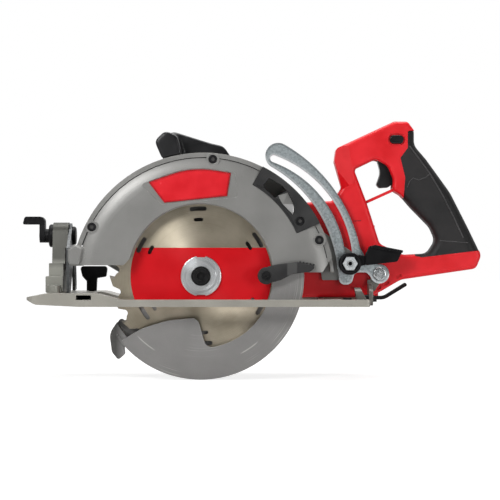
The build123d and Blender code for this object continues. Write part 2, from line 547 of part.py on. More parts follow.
def cover_crown():
    """What the cover's crown takes off: the face falls away to the rim along an arc."""
    inner, outer = GUARD_R - 4.5 - CROWN_WIDTH, GUARD_R - 4.5
    bend = (CROWN_WIDTH ** 2 + CROWN_DROP ** 2) / (2 * CROWN_DROP)
    crown = RadiusArc((inner, COVER_Y), (outer, COVER_Y + CROWN_DROP), -bend)
    sides = Polyline((outer, COVER_Y + CROWN_DROP), (outer, COVER_Y - 2), (inner, COVER_Y - 2),
                     (inner, COVER_Y))
    flat = Plane((RIM[0], 0, RIM[1]), x_dir=(1, 0, 0), z_dir=(0, 0, 1))
    return revolve(flat * make_face(crown + sides), Axis((RIM[0], 0, RIM[1]), (0, 1, 0)))


def guard_cover():
    """The cast cover over the near side of the blade, crowned towards its rim, and the front pivot lug."""
    body = slab(guard_face(GUARD_R - 4.5), COVER_Y, COVER_Y + 3)
    window = [e for e in body.edges().filter_by(GeomType.CIRCLE) if abs(e.radius - WINDOW_R) < 0.01]
    body = chamfer(ShapeList(window).group_by(Axis.Y)[0], 1.4)
    rim = guard_face(GUARD_R) - Pos(0, ARBOR_Z) * Circle(SWEEP_R)
    rim -= Pos(*RIM) * Circle(GUARD_R - 14.5)
    body += slab(rim, COVER_Y + 2.5, RIM_JOINT_Y - SEAT)
    body -= cover_crown()
    body -= block(-200, FRONT_TRIM_X, COVER_Y + 3, 0, 0, FRONT_TRIM_Z - 10)
    for x, z in COVER_SCREWS:
        body += disc(x, z, 6.6, COVER_Y + 0.5, RIM_JOINT_Y - SEAT) & slab(guard_face(GUARD_R), -60, -40)
    x, z = PIVOT_X, PIVOT_Z
    lug = outline((x - 7, z - 9.6, 1), (x + 3.5, z - 9.6, 1), (x + 5, z - 2, 2), (x + 5, z + 8, 2),
                  (x - 1, z + 11, 2), (x - 10.2, z + 3, 2))
    body += slab(lug, COVER_Y + 1, LUG_NEAR_Y)
    cap = outline((x - 9.2, z - 9.6, 2), (x, z - 9.6, 2), (x + 3.5, z + 7.5, 3), (x - 5, z + 12.5, 3),
                  (x - 12.1, z + 6.1, 3), (x - 12.1, z - 5.3, 3))
    cap = slab(cap, COVER_Y - LUG_RISE, LUG_NEAR_Y - 3)
    body += chamfer(cap.faces().sort_by(Axis.Y)[0].edges(), 1.6)
    body -= disc(PIVOT_X, PIVOT_Z, PIN_R + RUN, COVER_Y + 1.2, LUG_NEAR_Y + 1)
    body -= slab(chute_outline(0.15), COVER_Y - 5, RIM_JOINT_Y + 1)
    badge = badge_outline(0.3)
    body -= slab(badge, COVER_Y - 1, COVER_Y + 1.0)
    body -= slab(badge_frame(), COVER_Y - 1, COVER_Y + 0.5)
    for x, z in COVER_SCREWS:
        body -= disc(x, z, HOLE_R, COVER_Y - 1, 0)
        body -= disc(x, z, COVER_HEAD_R + 0.3, COVER_Y - 5, COVER_Y + 2.4)
    return body


def badge_outline(clearance):
    """The plain badge plate: five sides with an arched top."""
    c = clearance
    return outline((-36.2 - c, 103.3 - c, 1.0), (26.5 + c, 110.0 - c, 1.0), (30.2 + c, 133.2 + c, 1.0),
                   (-8.0, 139.2 + c, 90), (-52.0 - c, 124.0 + c, 1.0))


def badge_frame():
    """The shallow recess around the badge, longer towards the rear."""
    return outline((-38.5, 101.5, 2), (37.0, 109.0, 2), (34.8, 133.0, 2), (-8.0, 141.5, 90), (-60.0, 121.5, 2))


def badge_plate():
    """The badge plate, without any mark."""
    return slab(badge_outline(0.0), COVER_Y - 0.3, COVER_Y + 1.0 - SEAT)


def dust_chute():
    """The plastic dust chute let into the cover's rim, with a ramp in the lower half of its mouth."""
    ring = chute_outline(0.0) & Pos(*RIM) * Circle(GUARD_R + 0.4)
    body = slab(ring, COVER_Y - 0.3, RIM_JOINT_Y - SEAT)
    a, b = CHUTE_ANGLES
    centre = (0, ARBOR_Z)
    corners = [(5.5, b - 5, 1), (5.0, a + 18, 8), (6.9, a + 9.2, 1), (13.5, a + 11.8, 3), (17.5, a + 18.5, 8),
               (18.3, a + 24, 6), (16.2, b - 5.4, 1)]
    mouth = outline(*[(*polar(LOWER_R + r, t, centre), bend) for r, t, bend in corners])
    ramp_start = a + 9.0
    radial = polar(1.0, ramp_start, (0, 0))
    foot = polar(LOWER_R, ramp_start, centre)
    place = Plane((foot[0], 0, foot[1]), x_dir=(-radial[1], 0, radial[0]), z_dir=(radial[0], 0, radial[1]))
    ramp = outline((-4, -COVER_Y - 1, 0), (RAMP_LENGTH, -RIM_JOINT_Y, 0), (RAMP_LENGTH, -RIM_JOINT_Y - 8, 0),
                   (-4, -RIM_JOINT_Y - 8, 0))
    ramp = extrude(place * ramp, amount=40, dir=(radial[0], 0, radial[1]))
    body -= slab(mouth, COVER_Y - 5, RIM_JOINT_Y + 5) - ramp
    groove = sector(centre, LOWER_R + 3.0, LOWER_R + 4.2, a + 2, b - 2)
    body -= slab(groove, COVER_Y - 5, COVER_Y + 0.4)
    body -= disc(*CHUTE_SCREW, HOLE_R, COVER_Y - 5, 0)
    return body - disc(*CHUTE_SCREW, COVER_HEAD_R + 0.3, COVER_Y - 5, COVER_Y + 2.0)


def cover_screws():
    """The screws of the cover and of the dust chute, sunk below its face, as one group."""
    group = []
    seats = [(x, z, COVER_Y + 2.4) for x, z in COVER_SCREWS]
    seats.append((*CHUTE_SCREW, COVER_Y + 2.0))
    for x, z, seat in seats:
        head = disc(x, z, COVER_HEAD_R, seat - 2.2, seat - SEAT)
        head = fillet(head.edges().sort_by(Axis.Y)[0], 0.8)
        screw = head + disc(x, z, HOLE_R - SEAT, seat - 1, RIM_JOINT_Y + 12)
        group.append(screw - slab(Pos(x, z) * RegularPolygon(1.9, 6), seat - 5, seat - 0.8))
    return Compound(children=group)


def upper_guard():
    """The main casting: rim, far wall, screw bosses, the far pivot lug and the depth clamp lug."""
    wall_y = GUARD_BACK_Y - BACK_WALL
    face = Pos(*RIM) * Circle(GUARD_R)
    far = 2 * GUARD_R
    below = outline((-far, -far, 0), (far, -far, 0), (far, COVER_HEEL_Z, 0), (-WINDOW_R - 12, COVER_HEEL_Z, 0),
                    (-WINDOW_R - 24, COVER_FOOT_Z, 0), (-far, COVER_FOOT_Z, 0))
    trim = outline((-far, -far, 0), (FRONT_TRIM_X, -far, 0), (FRONT_TRIM_X, FRONT_TRIM_Z - 30, 8),
                   (FRONT_TRIM_X - 2, FRONT_TRIM_Z, 0), (-far, FRONT_TRIM_Z, 0))
    rim = face - Pos(*RIM) * Circle(GUARD_R - GUARD_WALL) - below - trim
    body = slab(rim, RIM_JOINT_Y, GUARD_BACK_Y)
    wall = face - below - trim + Pos(0, ARBOR_Z) * Circle(HUB_R + 4)
    heel = outline((HANDLE_X - 34, COVER_HEEL_Z + 12, 0), (HANDLE_X - 32, COVER_HEEL_Z - 0.6, 1),
                   (HANDLE_X - 8, COVER_HEEL_Z - 0.6, 1), (HANDLE_X - 7, BOLT_Z - 16.9, 2),
                   (BOLT_X - 11.5, BOLT_Z - 16.9, 4), (BOLT_X + 8.5, BOLT_Z - 8, 7), (BOLT_X + 7, BOLT_Z + 9, 6),
                   (HANDLE_X - 8, RIM_Z + 54.2, 4))
    wall += heel
    wall += bar_between((PIVOT_X, PIVOT_Z), (PIVOT_X + 26, PIVOT_Z + 16), 11)
    wall += Pos(PIVOT_X, PIVOT_Z) * Circle(6.2)
    wall -= Pos(0, ARBOR_Z) * Circle(HUB_R + SEAT)
    body += slab(wall, wall_y, GUARD_BACK_Y)
    body += disc(PIVOT_X, PIVOT_Z, 6.2, LUG_FAR_Y, GUARD_BACK_Y)
    for x, z in COVER_SCREWS + [CHUTE_SCREW]:
        boss = disc(x, z, 6.0, RIM_JOINT_Y, wall_y + 1) & slab(face, -80, 0)
        body += boss - disc(0, ARBOR_Z, SWEEP_R, -80, 0)
    for x, z in COVER_SCREWS + [CHUTE_SCREW]:
        body -= disc(x, z, HOLE_R, RIM_JOINT_Y - 1, RIM_JOINT_Y + 13)
    body -= disc(PIVOT_X, PIVOT_Z, PIN_R + RUN, -60, 0)
    body -= disc(BOLT_X, BOLT_Z, DEPTH_BOLT_R + SEAT, -60, 0)
    for x, z in motor_screw_places():
        body -= disc(x, z, HOLE_R, wall_y - 1, GUARD_BACK_Y + 1)
    for x, z in AUX_SCREWS + BODY_SCREWS:
        body -= disc(x, z, HOLE_R, wall_y - 1, GUARD_BACK_Y + 1)
    return body


def motor_screw_places():
    """The four long screws that hold motor, bearing plate and gear case to the guard."""
    return [polar(MOTOR_R + 4.0, a, (MOTOR_X, MOTOR_Z)) for a in MOTOR_LUGS]


# Front handle over the guard
AUX_SCREWS = [(-38.0, RIM_Z + GUARD_R - 19.0), (-8.0, RIM_Z + GUARD_R - 15.0)]


def aux_handle():
    """The front grip: a bar across the saw on a bracket bolted behind the guard."""
    rim_top = RIM_Z + GUARD_R
    grip = outline((-38.5, rim_top - 6.5, 4), (-18.0, rim_top - 2.5, 5), (-23.5, rim_top + 17, 7),
                   (-35.5, rim_top + 22.5, 6), (-46.5, rim_top + 12.0, 6))
    body = slab(grip, COVER_Y + 4, 78)
    body = fillet(body.faces().sort_by(Axis.Y)[-1].edges(), 2.0)
    bracket = outline((-46, rim_top - 26, 6), (18, rim_top - 24, 6), (31, rim_top - 4, 6),
                      (22.5, rim_top + 8.5, 10), (9, rim_top + 11.5, 12), (-27.5, rim_top + 23, 6),
                      (-36, rim_top + 21, 5), (-45.5, rim_top + 12, 5), (-37.5, rim_top - 7, 2),
                      (-46, rim_top - 12, 3))
    body += slab(bracket, GUARD_BACK_Y + SEAT, GUARD_BACK_Y + 22)
    body -= disc(*RIM, GUARD_R + 0.1, -80, GUARD_BACK_Y)
    for x, z in AUX_SCREWS:
        body -= disc(x, z, HOLE_R, -30, GUARD_BACK_Y + 14)
    return body


# Lower guard
ARBOR = (0.0, ARBOR_Z)
GUARD_ANGLES = (215.0, 372.0)                 # the rim runs from the lip to behind the cover
LEVER_ROOT = (65.5, ARBOR_Z + 0.5)
LEVER_Y = COVER_Y - 1.0                       # far face of the guard lever
LEVER_THICK = 4.0


def around(*corners):
    """An outline with its corners measured from the arbor."""
    return outline(*[(x, ARBOR_Z + z, r) for x, z, r in corners])


def lower_guard():
    """The sprung guard: near wing, rim, far wall, hub and the lip at the front."""
    start, stop = GUARD_ANGLES
    edge = Pos(*ARBOR) * Circle(LOWER_R)
    wing = around((-88, -69.5, 0), (-58, -51.8, 60), (-33, -44.3, 60), (-3, -41.5, 8), (4.5, -69, 7),
                  (14, -72, 1), (14, -LOWER_R - 20, 0), (-88, -LOWER_R - 20, 0)) & edge
    near = sector(ARBOR, WINDOW_R, LOWER_R, 276, stop) + wing + Pos(*LEVER_ROOT) * Circle(5.6)
    near += bar_between(LEVER_ROOT, (LEVER_ROOT[0] + 12, LEVER_ROOT[1]), 11)
    body = slab(near, LOWER_NEAR_Y, LOWER_NEAR_Y + LOWER_WALL)
    rim = sector(ARBOR, LOWER_R - LOWER_WALL, LOWER_R, start, stop)
    body += slab(rim, LOWER_NEAR_Y, LOWER_FAR_Y)
    lip = around((-81, -42, 3), (-91.5, -57, 16), (-89.0, -76, 8), (-82.5, -84, 2.5), (-76.5, -78.5, 2.5),
                 (-77.5, -67, 4), (-70, -66, 1), (-70, -50, 1))
    body += slab(lip - Pos(*ARBOR) * Circle(BLADE_R + 4), LOWER_NEAR_Y + 2.5, LOWER_FAR_Y)
    far = sector(ARBOR, HUB_R, LOWER_R, start, stop) + lip + Pos(*ARBOR) * Circle(HUB_R + 5)
    far += sector(ARBOR, HUB_R, BLADE_R - 12, start - 19, start + 1)
    body += slab(far, LOWER_FAR_Y - 2.0, LOWER_FAR_Y)
    body += disc(*ARBOR, HUB_R + 5, LOWER_FAR_Y - 2.0, LOWER_FAR_Y + 4.0)
    body -= disc(*ARBOR, HUB_R + RUN, -60, 0)
    return body - disc(*LEVER_ROOT, HOLE_R, -60, LOWER_NEAR_Y + 4)


def guard_lever():
    """The thumb lever of the lower guard, with ribs near its tip."""
    x, z = LEVER_ROOT
    arm = outline((x - 1.5, z - 8.4, 4), (x + 14, z - 4.5, 8), (x + 26, z + 1.8, 20), (x + 44, z + 4, 5),
                  (x + 50, z + 9.6, 2), (x + 30, z + 14, 12), (x + 12, z + 11.5, 20), (x - 2.0, z + 8.4, 6))
    body = slab(arm + Pos(x, z) * Circle(8.6), LEVER_Y - LEVER_THICK, LEVER_Y)
    body = fillet(body.faces().sort_by(Axis.Y)[0].edges(), 0.8)
    for i in range(5):
        rib = bar_between((x + 33 + 3.4 * i, z + 12.0 - 0.7 * i), (x + 34 + 3.4 * i, z + 14.6 - 0.7 * i), 1.5)
        body += slab(rib, LEVER_Y - LEVER_THICK + 0.6, LEVER_Y - 0.6)
    body += disc(x, z, 5.0, LEVER_Y - 1, LOWER_NEAR_Y - SEAT)
    body -= disc(x, z, HOLE_R, -80, 0)
    return body - disc(x, z, 4.7, -80, LEVER_Y - LEVER_THICK + 1.6)


def guard_lever_screw():
    """The screw that holds the thumb lever to the lower guard."""
    x, z = LEVER_ROOT
    seat = LEVER_Y - LEVER_THICK + 1.6
    body = disc(x, z, 4.4, seat - 2.2, seat - SEAT) + disc(x, z, HOLE_R - SEAT, seat - 1, LOWER_NEAR_Y + 2)
    return body - slab(Pos(x, z) * RegularPolygon(2.0, 6), seat - 5, seat - 0.9)


def guard_ring():
    """The snap ring that keeps the lower guard on its boss."""
    face = sector(ARBOR, HUB_R - 1.0, HUB_R + 3.5, 110, 430)
    return slab(face, HUB_END_Y + 0.1, LOWER_FAR_Y - 2.0 - 0.25)


def guard_spring():
    """The torsion spring that closes the lower guard: one wound wire behind its far wall."""
    wire = 0.8
    turns, pitch, radius = 2.5, 2.3, HUB_R + 6.6
    path = Pos(0, LOWER_FAR_Y + 1.2, ARBOR_Z) * Rot(-90, 0, 0) * Helix(pitch, pitch * turns, radius)
    start = path.position_at(0)
    return sweep(Plane(start, z_dir=path.tangent_at(0)) * Circle(wire), path=path, is_frenet=True)


# Blade and the parts that turn with it
TIP_H = 5.0
BLADE_SLOTS = 6


def blade():
    """The toothed blade with its expansion slots and bore."""
    edges = []
    step = 360.0 / TOOTH_COUNT
    seat_r = BLADE_R - TIP_H
    for i in range(TOOTH_COUNT):
        a = i * step
        corners = [polar(BLADE_R - 0.5, a + 1.3, ARBOR), polar(BLADE_R - 2.6, a + 6.6, ARBOR),
                   polar(BLADE_R - 7.4, a + 8.6, ARBOR)]
        low = polar(BLADE_R - 9.6, a + 10.9, ARBOR)
        rise = polar(BLADE_R - 7.4, a + 13.0, ARBOR)
        face_low = polar(seat_r, a + step + 0.25, ARBOR)
        face_back = polar(seat_r, a + step + 1.5, ARBOR)
        last = polar(BLADE_R - 0.5, a + step + 1.3, ARBOR)
        edges.append(Edge.make_line(corners[0], corners[1]))
        edges.append(Edge.make_line(corners[1], corners[2]))
        edges.append(Edge.make_three_point_arc(corners[2], low, rise))
        edges.append(Edge.make_line(rise, face_low))
        edges.append(Edge.make_line(face_low, face_back))
        edges.append(Edge.make_line(face_back, last))
    face = Face(Wire(edges)) - Pos(*ARBOR) * Circle(BORE_R)
    for i in range(BLADE_SLOTS):
        a = 32.5 + i * 360.0 / BLADE_SLOTS
        face -= slot_along(ARBOR, BLADE_R - 24.0, 2.2, a - 5.4, a + 5.4)
        face -= slot_along(ARBOR, BLADE_R - 35.0, 1.8, a - 3.0, a + 3.0)
    return slab(face, BLADE_Y - BLADE_BODY / 2, BLADE_Y + BLADE_BODY / 2)


def carbide_tips():
    """The carbide tips on the teeth, as one group."""
    group = []
    step = 360.0 / TOOTH_COUNT
    seat_r = BLADE_R - TIP_H
    for i in range(TOOTH_COUNT):
        a = i * step
        tip = outline((*polar(seat_r + 0.03, a + 0.3, ARBOR), 0), (*polar(seat_r + 0.03, a + 1.46, ARBOR), 0),
                      (*polar(BLADE_R - 0.5, a + 1.26, ARBOR), 0), (*polar(BLADE_R, a - 0.4, ARBOR), 0))
        group.append(slab(tip, BLADE_Y - BLADE_KERF / 2, BLADE_Y + BLADE_KERF / 2))
    return Compound(children=group)


def outer_flange():
    """The outer blade washer, stepped, with a raised ring."""
    near = BLADE_Y - BLADE_BODY / 2 - 5.0
    body = disc(*ARBOR, FLANGE_R, near + 2.2, near + 5.0 - SEAT)
    body = fillet(body.edges().sort_by(Axis.Y)[0], 1.0)
    body += disc(*ARBOR, 15.0, near, near + 3)
    for a in (90.0, 270.0):
        flat = Pos(*polar(FLANGE_R, a, ARBOR)) * Rectangle(9, 3.2)
        body -= slab(flat, near - 1, near + 6)
    return body - disc(*ARBOR, BORE_R - 3.9 + SEAT, -80, 0)


def arbor_bolt():
    """The bolt that clamps the blade, with a star socket in its flanged head."""
    seat = BLADE_Y - BLADE_BODY / 2 - 5.0
    head = disc(*ARBOR, BOLT_HEAD_R, seat - 2.4, seat - SEAT)
    head = fillet(head.edges().sort_by(Axis.Y)[0], 0.9)
    body = head + disc(*ARBOR, BOLT_HEAD_R - 2.2, seat - 6.0, seat - 1)
    star = Pos(*ARBOR) * (RegularPolygon(4.6, 6) + Rot(0, 0, 30) * RegularPolygon(4.6, 6))
    body -= slab(star, seat - 10, seat - 2.5)
    return body + disc(*ARBOR, BORE_R - 3.9 - SEAT, seat - 1, SPINDLE_END_Y + 18)


SPINDLE_END_Y = BLADE_Y - 0.4


def inner_flange():
    """The inner blade washer, seated on the spindle against the bearing."""
    near = BLADE_Y + BLADE_BODY / 2
    body = disc(*ARBOR, FLANGE_R - 0.5, near + SEAT, near + 2.4)
    body += disc(*ARBOR, 11.0, near + 1, BEARING_Y - SEAT)
    return body - disc(*ARBOR, BORE_R - 0.04 + SEAT, -80, 0)


BEARING_Y = HUB_END_Y + 1.5                   # near face of the front spindle bearing
BEARING_W = 10.0
BEARING_R = 16.0


def spindle():
    """The output spindle: blade pilot, two bearing seats and the gear seat."""
    body = disc(*ARBOR, BORE_R - 0.04, SPINDLE_END_Y, BEARING_Y + 1)
    body += disc(*ARBOR, 8.5, BEARING_Y, BEARING_Y + BEARING_W + 1)
    body += disc(*ARBOR, 9.5, BEARING_Y + BEARING_W + RUN, GEAR_Y + GEAR_WIDTH + 0.2)
    body += disc(*ARBOR, 5.0, GEAR_Y, MOTOR_FRONT_Y - 1.0)
    return body - disc(*ARBOR, BORE_R - 3.9 + SEAT * 2, -80, SPINDLE_END_Y + 18.5)


def gear_face(teeth, shift, centre, angle):
    """An involute gear outline, one tooth pointing along the given angle."""
    pressure = radians(20)
    pitch_r = MODULE * teeth / 2
    base_r = pitch_r * cos(pressure)
    tip_r = pitch_r + MODULE * (1 + shift)
    root_r = pitch_r - MODULE * (1.25 - shift)
    thick = MODULE * (pi / 2 + 2 * shift * tan(pressure)) - BACKLASH / 2
    half = thick / (2 * pitch_r)
    start_r = max(base_r, root_r + 0.02)
    flank = []
    for k in range(5):
        r = start_r + (tip_r - start_r) * k / 4
        roll = sqrt(max((r / base_r) ** 2 - 1, 0))
        flank.append((r, half + tan(pressure) - pressure - (roll - atan2(roll, 1))))
    points = []
    for i in range(teeth):
        middle = radians(angle) + 2 * pi * i / teeth
        rising = [(root_r, -flank[0][1])] + [(r, -w) for r, w in flank]
        falling = [(r, w) for r, w in reversed(flank)] + [(root_r, flank[0][1])]
        for r, w in rising + falling:
            points.append((*polar(r, degrees(middle + w), centre), 0))
    return outline(*points)


PROFILE_SHIFT = 0.45


def drive_gear():
    """The large spur gear on the spindle."""
    face = gear_face(GEAR_TEETH, -PROFILE_SHIFT, ARBOR, MOTOR_ANGLE) - Pos(*ARBOR) * Circle(9.5 + SEAT)
    body = slab(face, GEAR_Y, GEAR_Y + GEAR_WIDTH)
    dish = Pos(*ARBOR) * (Circle(19.5) - Circle(13))
    body -= slab(dish, GEAR_Y - 1, GEAR_Y + 1.5)
    return body - slab(dish, GEAR_Y + GEAR_WIDTH - 1.5, GEAR_Y + GEAR_WIDTH + 1)


def pinion():
    """The small spur gear on the rotor shaft."""
    place = (MOTOR_X, MOTOR_Z)
    face = gear_face(PINION_TEETH, PROFILE_SHIFT, place, MOTOR_ANGLE + 180 + 180 / PINION_TEETH)
    return slab(face - Pos(*place) * Circle(SHAFT_R - 0.5 + SEAT), GEAR_Y, GEAR_Y + GEAR_WIDTH)


SHAFT_R = 3.5


# Gear case, bearing plate and motor
MOTOR = (MOTOR_X, MOTOR_Z)
CAVITY_R = MODULE * GEAR_TEETH / 2 + MODULE + 0.8
PINION_ROOM = MODULE * PINION_TEETH / 2 + MODULE * (1 + PROFILE_SHIFT) + 1.5
LUG_R = 5.2
HEAD_R = 4.3                                  # heads of the motor screws
SHOE_CLEAR_Y = SLOT_FAR_Y - GAP               # below the shoe's rim nothing reaches beyond this
REAR_BEARING_R = 8.5
ROTOR_BEARING_R = 8.0
ROTOR_BEARING_W = 6.0
CORE_Y = (24.0, 60.0)
CORE_R = 16.5
STATOR_R = 30.5


def with_lugs(face):
    """A face with the four screw lugs of the motor added."""
    for place in motor_screw_places():
        face += Pos(*place) * Circle(LUG_R)
        face += bar_between(place, MOTOR, 2 * LUG_R)
    return face


def gear_case():
    """The gear case with the boss for the lower guard and the front spindle bearing."""
    groove_y = LOWER_FAR_Y - 2.2
    body = disc(*ARBOR, HUB_R - 1.1, HUB_END_Y, GUARD_BACK_Y + 1)
    body += disc(*ARBOR, HUB_R, groove_y, GUARD_BACK_Y + 1)
    face = Pos(*ARBOR) * Circle(CAVITY_R + CASE_WALL) + Pos(*MOTOR) * Circle(PINION_ROOM + 6)
    face = with_lugs(face + bar_between(ARBOR, MOTOR, 2 * PINION_ROOM + 8))
    body += slab(face, GUARD_BACK_Y + SEAT, CASE_BACK_Y)
    room = Pos(*ARBOR) * Circle(CAVITY_R) + Pos(*MOTOR) * Circle(PINION_ROOM)
    body -= slab(room, GEAR_Y - 0.8, CASE_BACK_Y + 1)
    body -= disc(*ARBOR, BEARING_R + SEAT, BEARING_Y, BEARING_Y + BEARING_W + 0.5)
    body -= disc(*ARBOR, 12.5, HUB_END_Y - 1, CASE_BACK_Y)
    for place in motor_screw_places():
        body -= disc(*place, HOLE_R, -60, 0)
    return body


def bearing_plate():
    """The plate between gear case and motor with the rear spindle and front rotor bearing seats."""
    face = with_lugs(Pos(*ARBOR) * Circle(CAVITY_R + CASE_WALL) + Pos(*MOTOR) * Circle(MOTOR_R))
    body = slab(face, CASE_BACK_Y + SEAT, MOTOR_FRONT_Y)
    body += disc(*MOTOR, ROTOR_BEARING_R + 3, CASE_BACK_Y + 1, MOTOR_FRONT_Y + 8)
    body -= block(-100, 100, SHOE_CLEAR_Y, 60, -50, SHOE_EDGE + 2)
    body -= disc(*ARBOR, REAR_BEARING_R + SEAT, CASE_BACK_Y - 1, MOTOR_FRONT_Y - 0.8)
    body -= disc(*MOTOR, SHAFT_R + 1, -60, 60)
    body -= disc(*MOTOR, ROTOR_BEARING_R + SEAT, MOTOR_FRONT_Y + 1, MOTOR_FRONT_Y + 20)
    for place in motor_screw_places():
        body -= disc(*place, HOLE_R, -60, 60)
    return body


def ring_bearing(place, bore, outer, y0, y1):
    """A ball bearing as a ring with shallow shields on both faces."""
    body = slab(Pos(*place) * (Circle(outer) - Circle(bore)), y0, y1)
    middle = (bore + outer) / 2
    shield = Pos(*place) * (Circle(middle + 1.4) - Circle(middle - 1.4))
    return body - slab(shield, y0 - 1, y0 + 0.5) - slab(shield, y1 - 0.5, y1 + 1)


def front_spindle_bearing():
    """The large bearing in the gear case boss."""
    return ring_bearing(ARBOR, 8.5 + RUN, BEARING_R, BEARING_Y + SEAT, BEARING_Y + BEARING_W)


def small_bearings():
    """The rear spindle bearing and the two rotor bearings, as one group."""
    ends = [(MOTOR_FRONT_Y + 1 + SEAT, MOTOR_FRONT_Y + 1 + ROTOR_BEARING_W),
            (MOTOR_END_Y - 4 - ROTOR_BEARING_W, MOTOR_END_Y - 4)]
    group = [ring_bearing(MOTOR, SHAFT_R + RUN, ROTOR_BEARING_R, a, b) for a, b in ends]
    group.append(ring_bearing(ARBOR, 5.0 + RUN, REAR_BEARING_R, CASE_BACK_Y + 0.4, MOTOR_FRONT_Y - 1.0))
    return Compound(children=group)


def rotor():
    """The rotor core on its shaft."""
    body = disc(*MOTOR, SHAFT_R - 0.5, GEAR_Y - 0.4, 0)
    body += disc(*MOTOR, SHAFT_R, GEAR_Y + GEAR_WIDTH + 0.2, MOTOR_END_Y - 4.3)
    return body + disc(*MOTOR, CORE_R, *CORE_Y)


def fan():
    """The cooling fan: a disc with straight vanes."""
    face = Pos(*MOTOR) * (Circle(27) - Circle(SHAFT_R + SEAT))
    body = slab(face, MOTOR_FRONT_Y + 17, MOTOR_FRONT_Y + 19)
    for i in range(11):
        a = 360.0 / 11 * i
        vane = bar_between(polar(12, a, MOTOR), polar(26.5, a + 14, MOTOR), 1.4)
        body += slab(vane, MOTOR_FRONT_Y + 10, MOTOR_FRONT_Y + 18)
    return body + slab(Pos(*MOTOR) * (Circle(7) - Circle(SHAFT_R + SEAT)), MOTOR_FRONT_Y + 10, MOTOR_FRONT_Y + 18)


def coil_places():
    """Angle of each of the six stator coils."""
    return [30.0 + 60.0 * i for i in range(6)]


def stator():
    """The laminated stator ring with six slots."""
    face = Pos(*MOTOR) * (Circle(STATOR_R) - Circle(CORE_R + 0.6))
    for a in coil_places():
        x, z = polar(21.5, a, MOTOR)
        face -= Pos(x, z) * Rot(0, 0, a) * Rectangle(9.0, 8.0)
    return slab(face, *CORE_Y)


def stator_coils():
    """The copper coils in the stator slots, as one group."""
    group = []
    for a in coil_places():
        x, z = polar(22.0, a, MOTOR)
        coil = slab(Pos(x, z) * Rot(0, 0, a) * Rectangle(7.6, 7.6), CORE_Y[0] - 3.5, CORE_Y[1] + 3.5)
        group.append(coil)
    return Compound(children=group)


def motor_housing():
    """The motor barrel with its end wall, vents, inner ribs, screw lugs and the neck to the body."""
    inner = MOTOR_R - MOTOR_WALL
    end = MOTOR_END_Y - 3
    body = disc(*MOTOR, MOTOR_R, MOTOR_FRONT_Y + SEAT, MOTOR_END_Y)
    body = fillet(body.edges().sort_by(Axis.Y)[-1], 5.0)
    body += slab(with_lugs(Pos(*MOTOR) * Circle(MOTOR_R)), MOTOR_FRONT_Y + SEAT, MOTOR_FRONT_Y + 14)
    neck = outline((MOTOR_X, 24, 3), (BODY_X - SEAT, 24, 1), (BODY_X - SEAT, 84, 1), (MOTOR_X, 84, 3))
    body += slab(neck, MOTOR_FRONT_Y + 20, 44)
    body -= disc(*MOTOR, inner, MOTOR_FRONT_Y - 1, end)
    ribs = Pos(*MOTOR) * (Circle(inner + 0.5) - Circle(STATOR_R + SEAT))
    keep = [Pos(*polar(inner, a, MOTOR)) * Rot(0, 0, a) * Rectangle(8, 9) for a in (0, 60, 120, 180, 240, 300)]
    for piece in keep:
        body += slab(ribs & piece, CORE_Y[0] + 4, CORE_Y[1])
    body += slab(Pos(*MOTOR) * Circle(ROTOR_BEARING_R + 3), end - 8, end + 1)
    body -= disc(*MOTOR, ROTOR_BEARING_R + SEAT, end - 20, MOTOR_END_Y - 3.6)
    for i in range(10):
        a = 36.0 * i
        slit = bar_between(polar(14, a, MOTOR), polar(28, a, MOTOR), 3.2)
        body -= slab(slit, end - 1, MOTOR_END_Y + 1)
    for a in (75, 90, 105, 140, 155, 185, 200, 215, 230, 250, 270, 290, 310):
        slit = bar_between(polar(inner - 3, a, MOTOR), polar(MOTOR_R + 3, a, MOTOR), 4.0)
        body -= slab(slit, MOTOR_FRONT_Y + 66, MOTOR_FRONT_Y + 80)
    body -= block(BODY_X - 12, BODY_X + 1, 24, 36, 48, 60)
    for place in motor_screw_places():
        body -= disc(*place, HOLE_R, -60, 60)
        body -= disc(*place, HEAD_R + SEAT, MOTOR_FRONT_Y + 14, MOTOR_FRONT_Y + 26)
    return body


def motor_screws():
    """The four long motor screws, as one group."""
    group = []
    for place in motor_screw_places():
        head = disc(*place, HEAD_R, MOTOR_FRONT_Y + 14 + SEAT, MOTOR_FRONT_Y + 17.5)
        screw = head + disc(*place, HOLE_R - SEAT, GUARD_BACK_Y - BACK_WALL + 0.5, MOTOR_FRONT_Y + 15)
        group.append(screw - slab(Pos(*place) * RegularPolygon(2.2, 6), MOTOR_FRONT_Y + 16, MOTOR_FRONT_Y + 19))
    return Compound(children=group)


# Handle and rear body
BODY_X = 68.0                                 # front face of the rear body, behind the motor
HX = HANDLE_X - 129.5                         # the handle moves back with a larger guard
NEAR_Y = GUARD_BACK_Y + SEAT                  # outside of the left half
FAR_Y = -NEAR_Y                               # outside of the right half's handle
EDGE_R = 4.0
GRIP_EDGE = 8.0                               # rounding of the overmould's edges
HANDLE_OUTER = [(BODY_X, 8, 5), (158 + HX, 8, 12), (172 + HX, 8.8, 6), (184 + HX, 14.8, 8),
                (203 + HX, 26.0, 20), (279.5 + HX, 37.2, 7), (285 + HX, 51.0, 9), (272.5 + HX, 77, 60),
                (253.5 + HX, 114.6, 60), (229 + HX, 148.5, 45), (216.6 + HX, 163, 14), (216.6 + HX, 178, 5),
                (210 + HX, 187, 5), (196 + HX, 187.2, 8), (137.2 + HX, 159.8, 5), (135.4 + HX, 146.5, 6),
                (142.8 + HX, 119.8, 5), (133.5 + HX, 106.2, 6), (104 + HX, 104.5, 6), (BODY_X, 94, 8)]
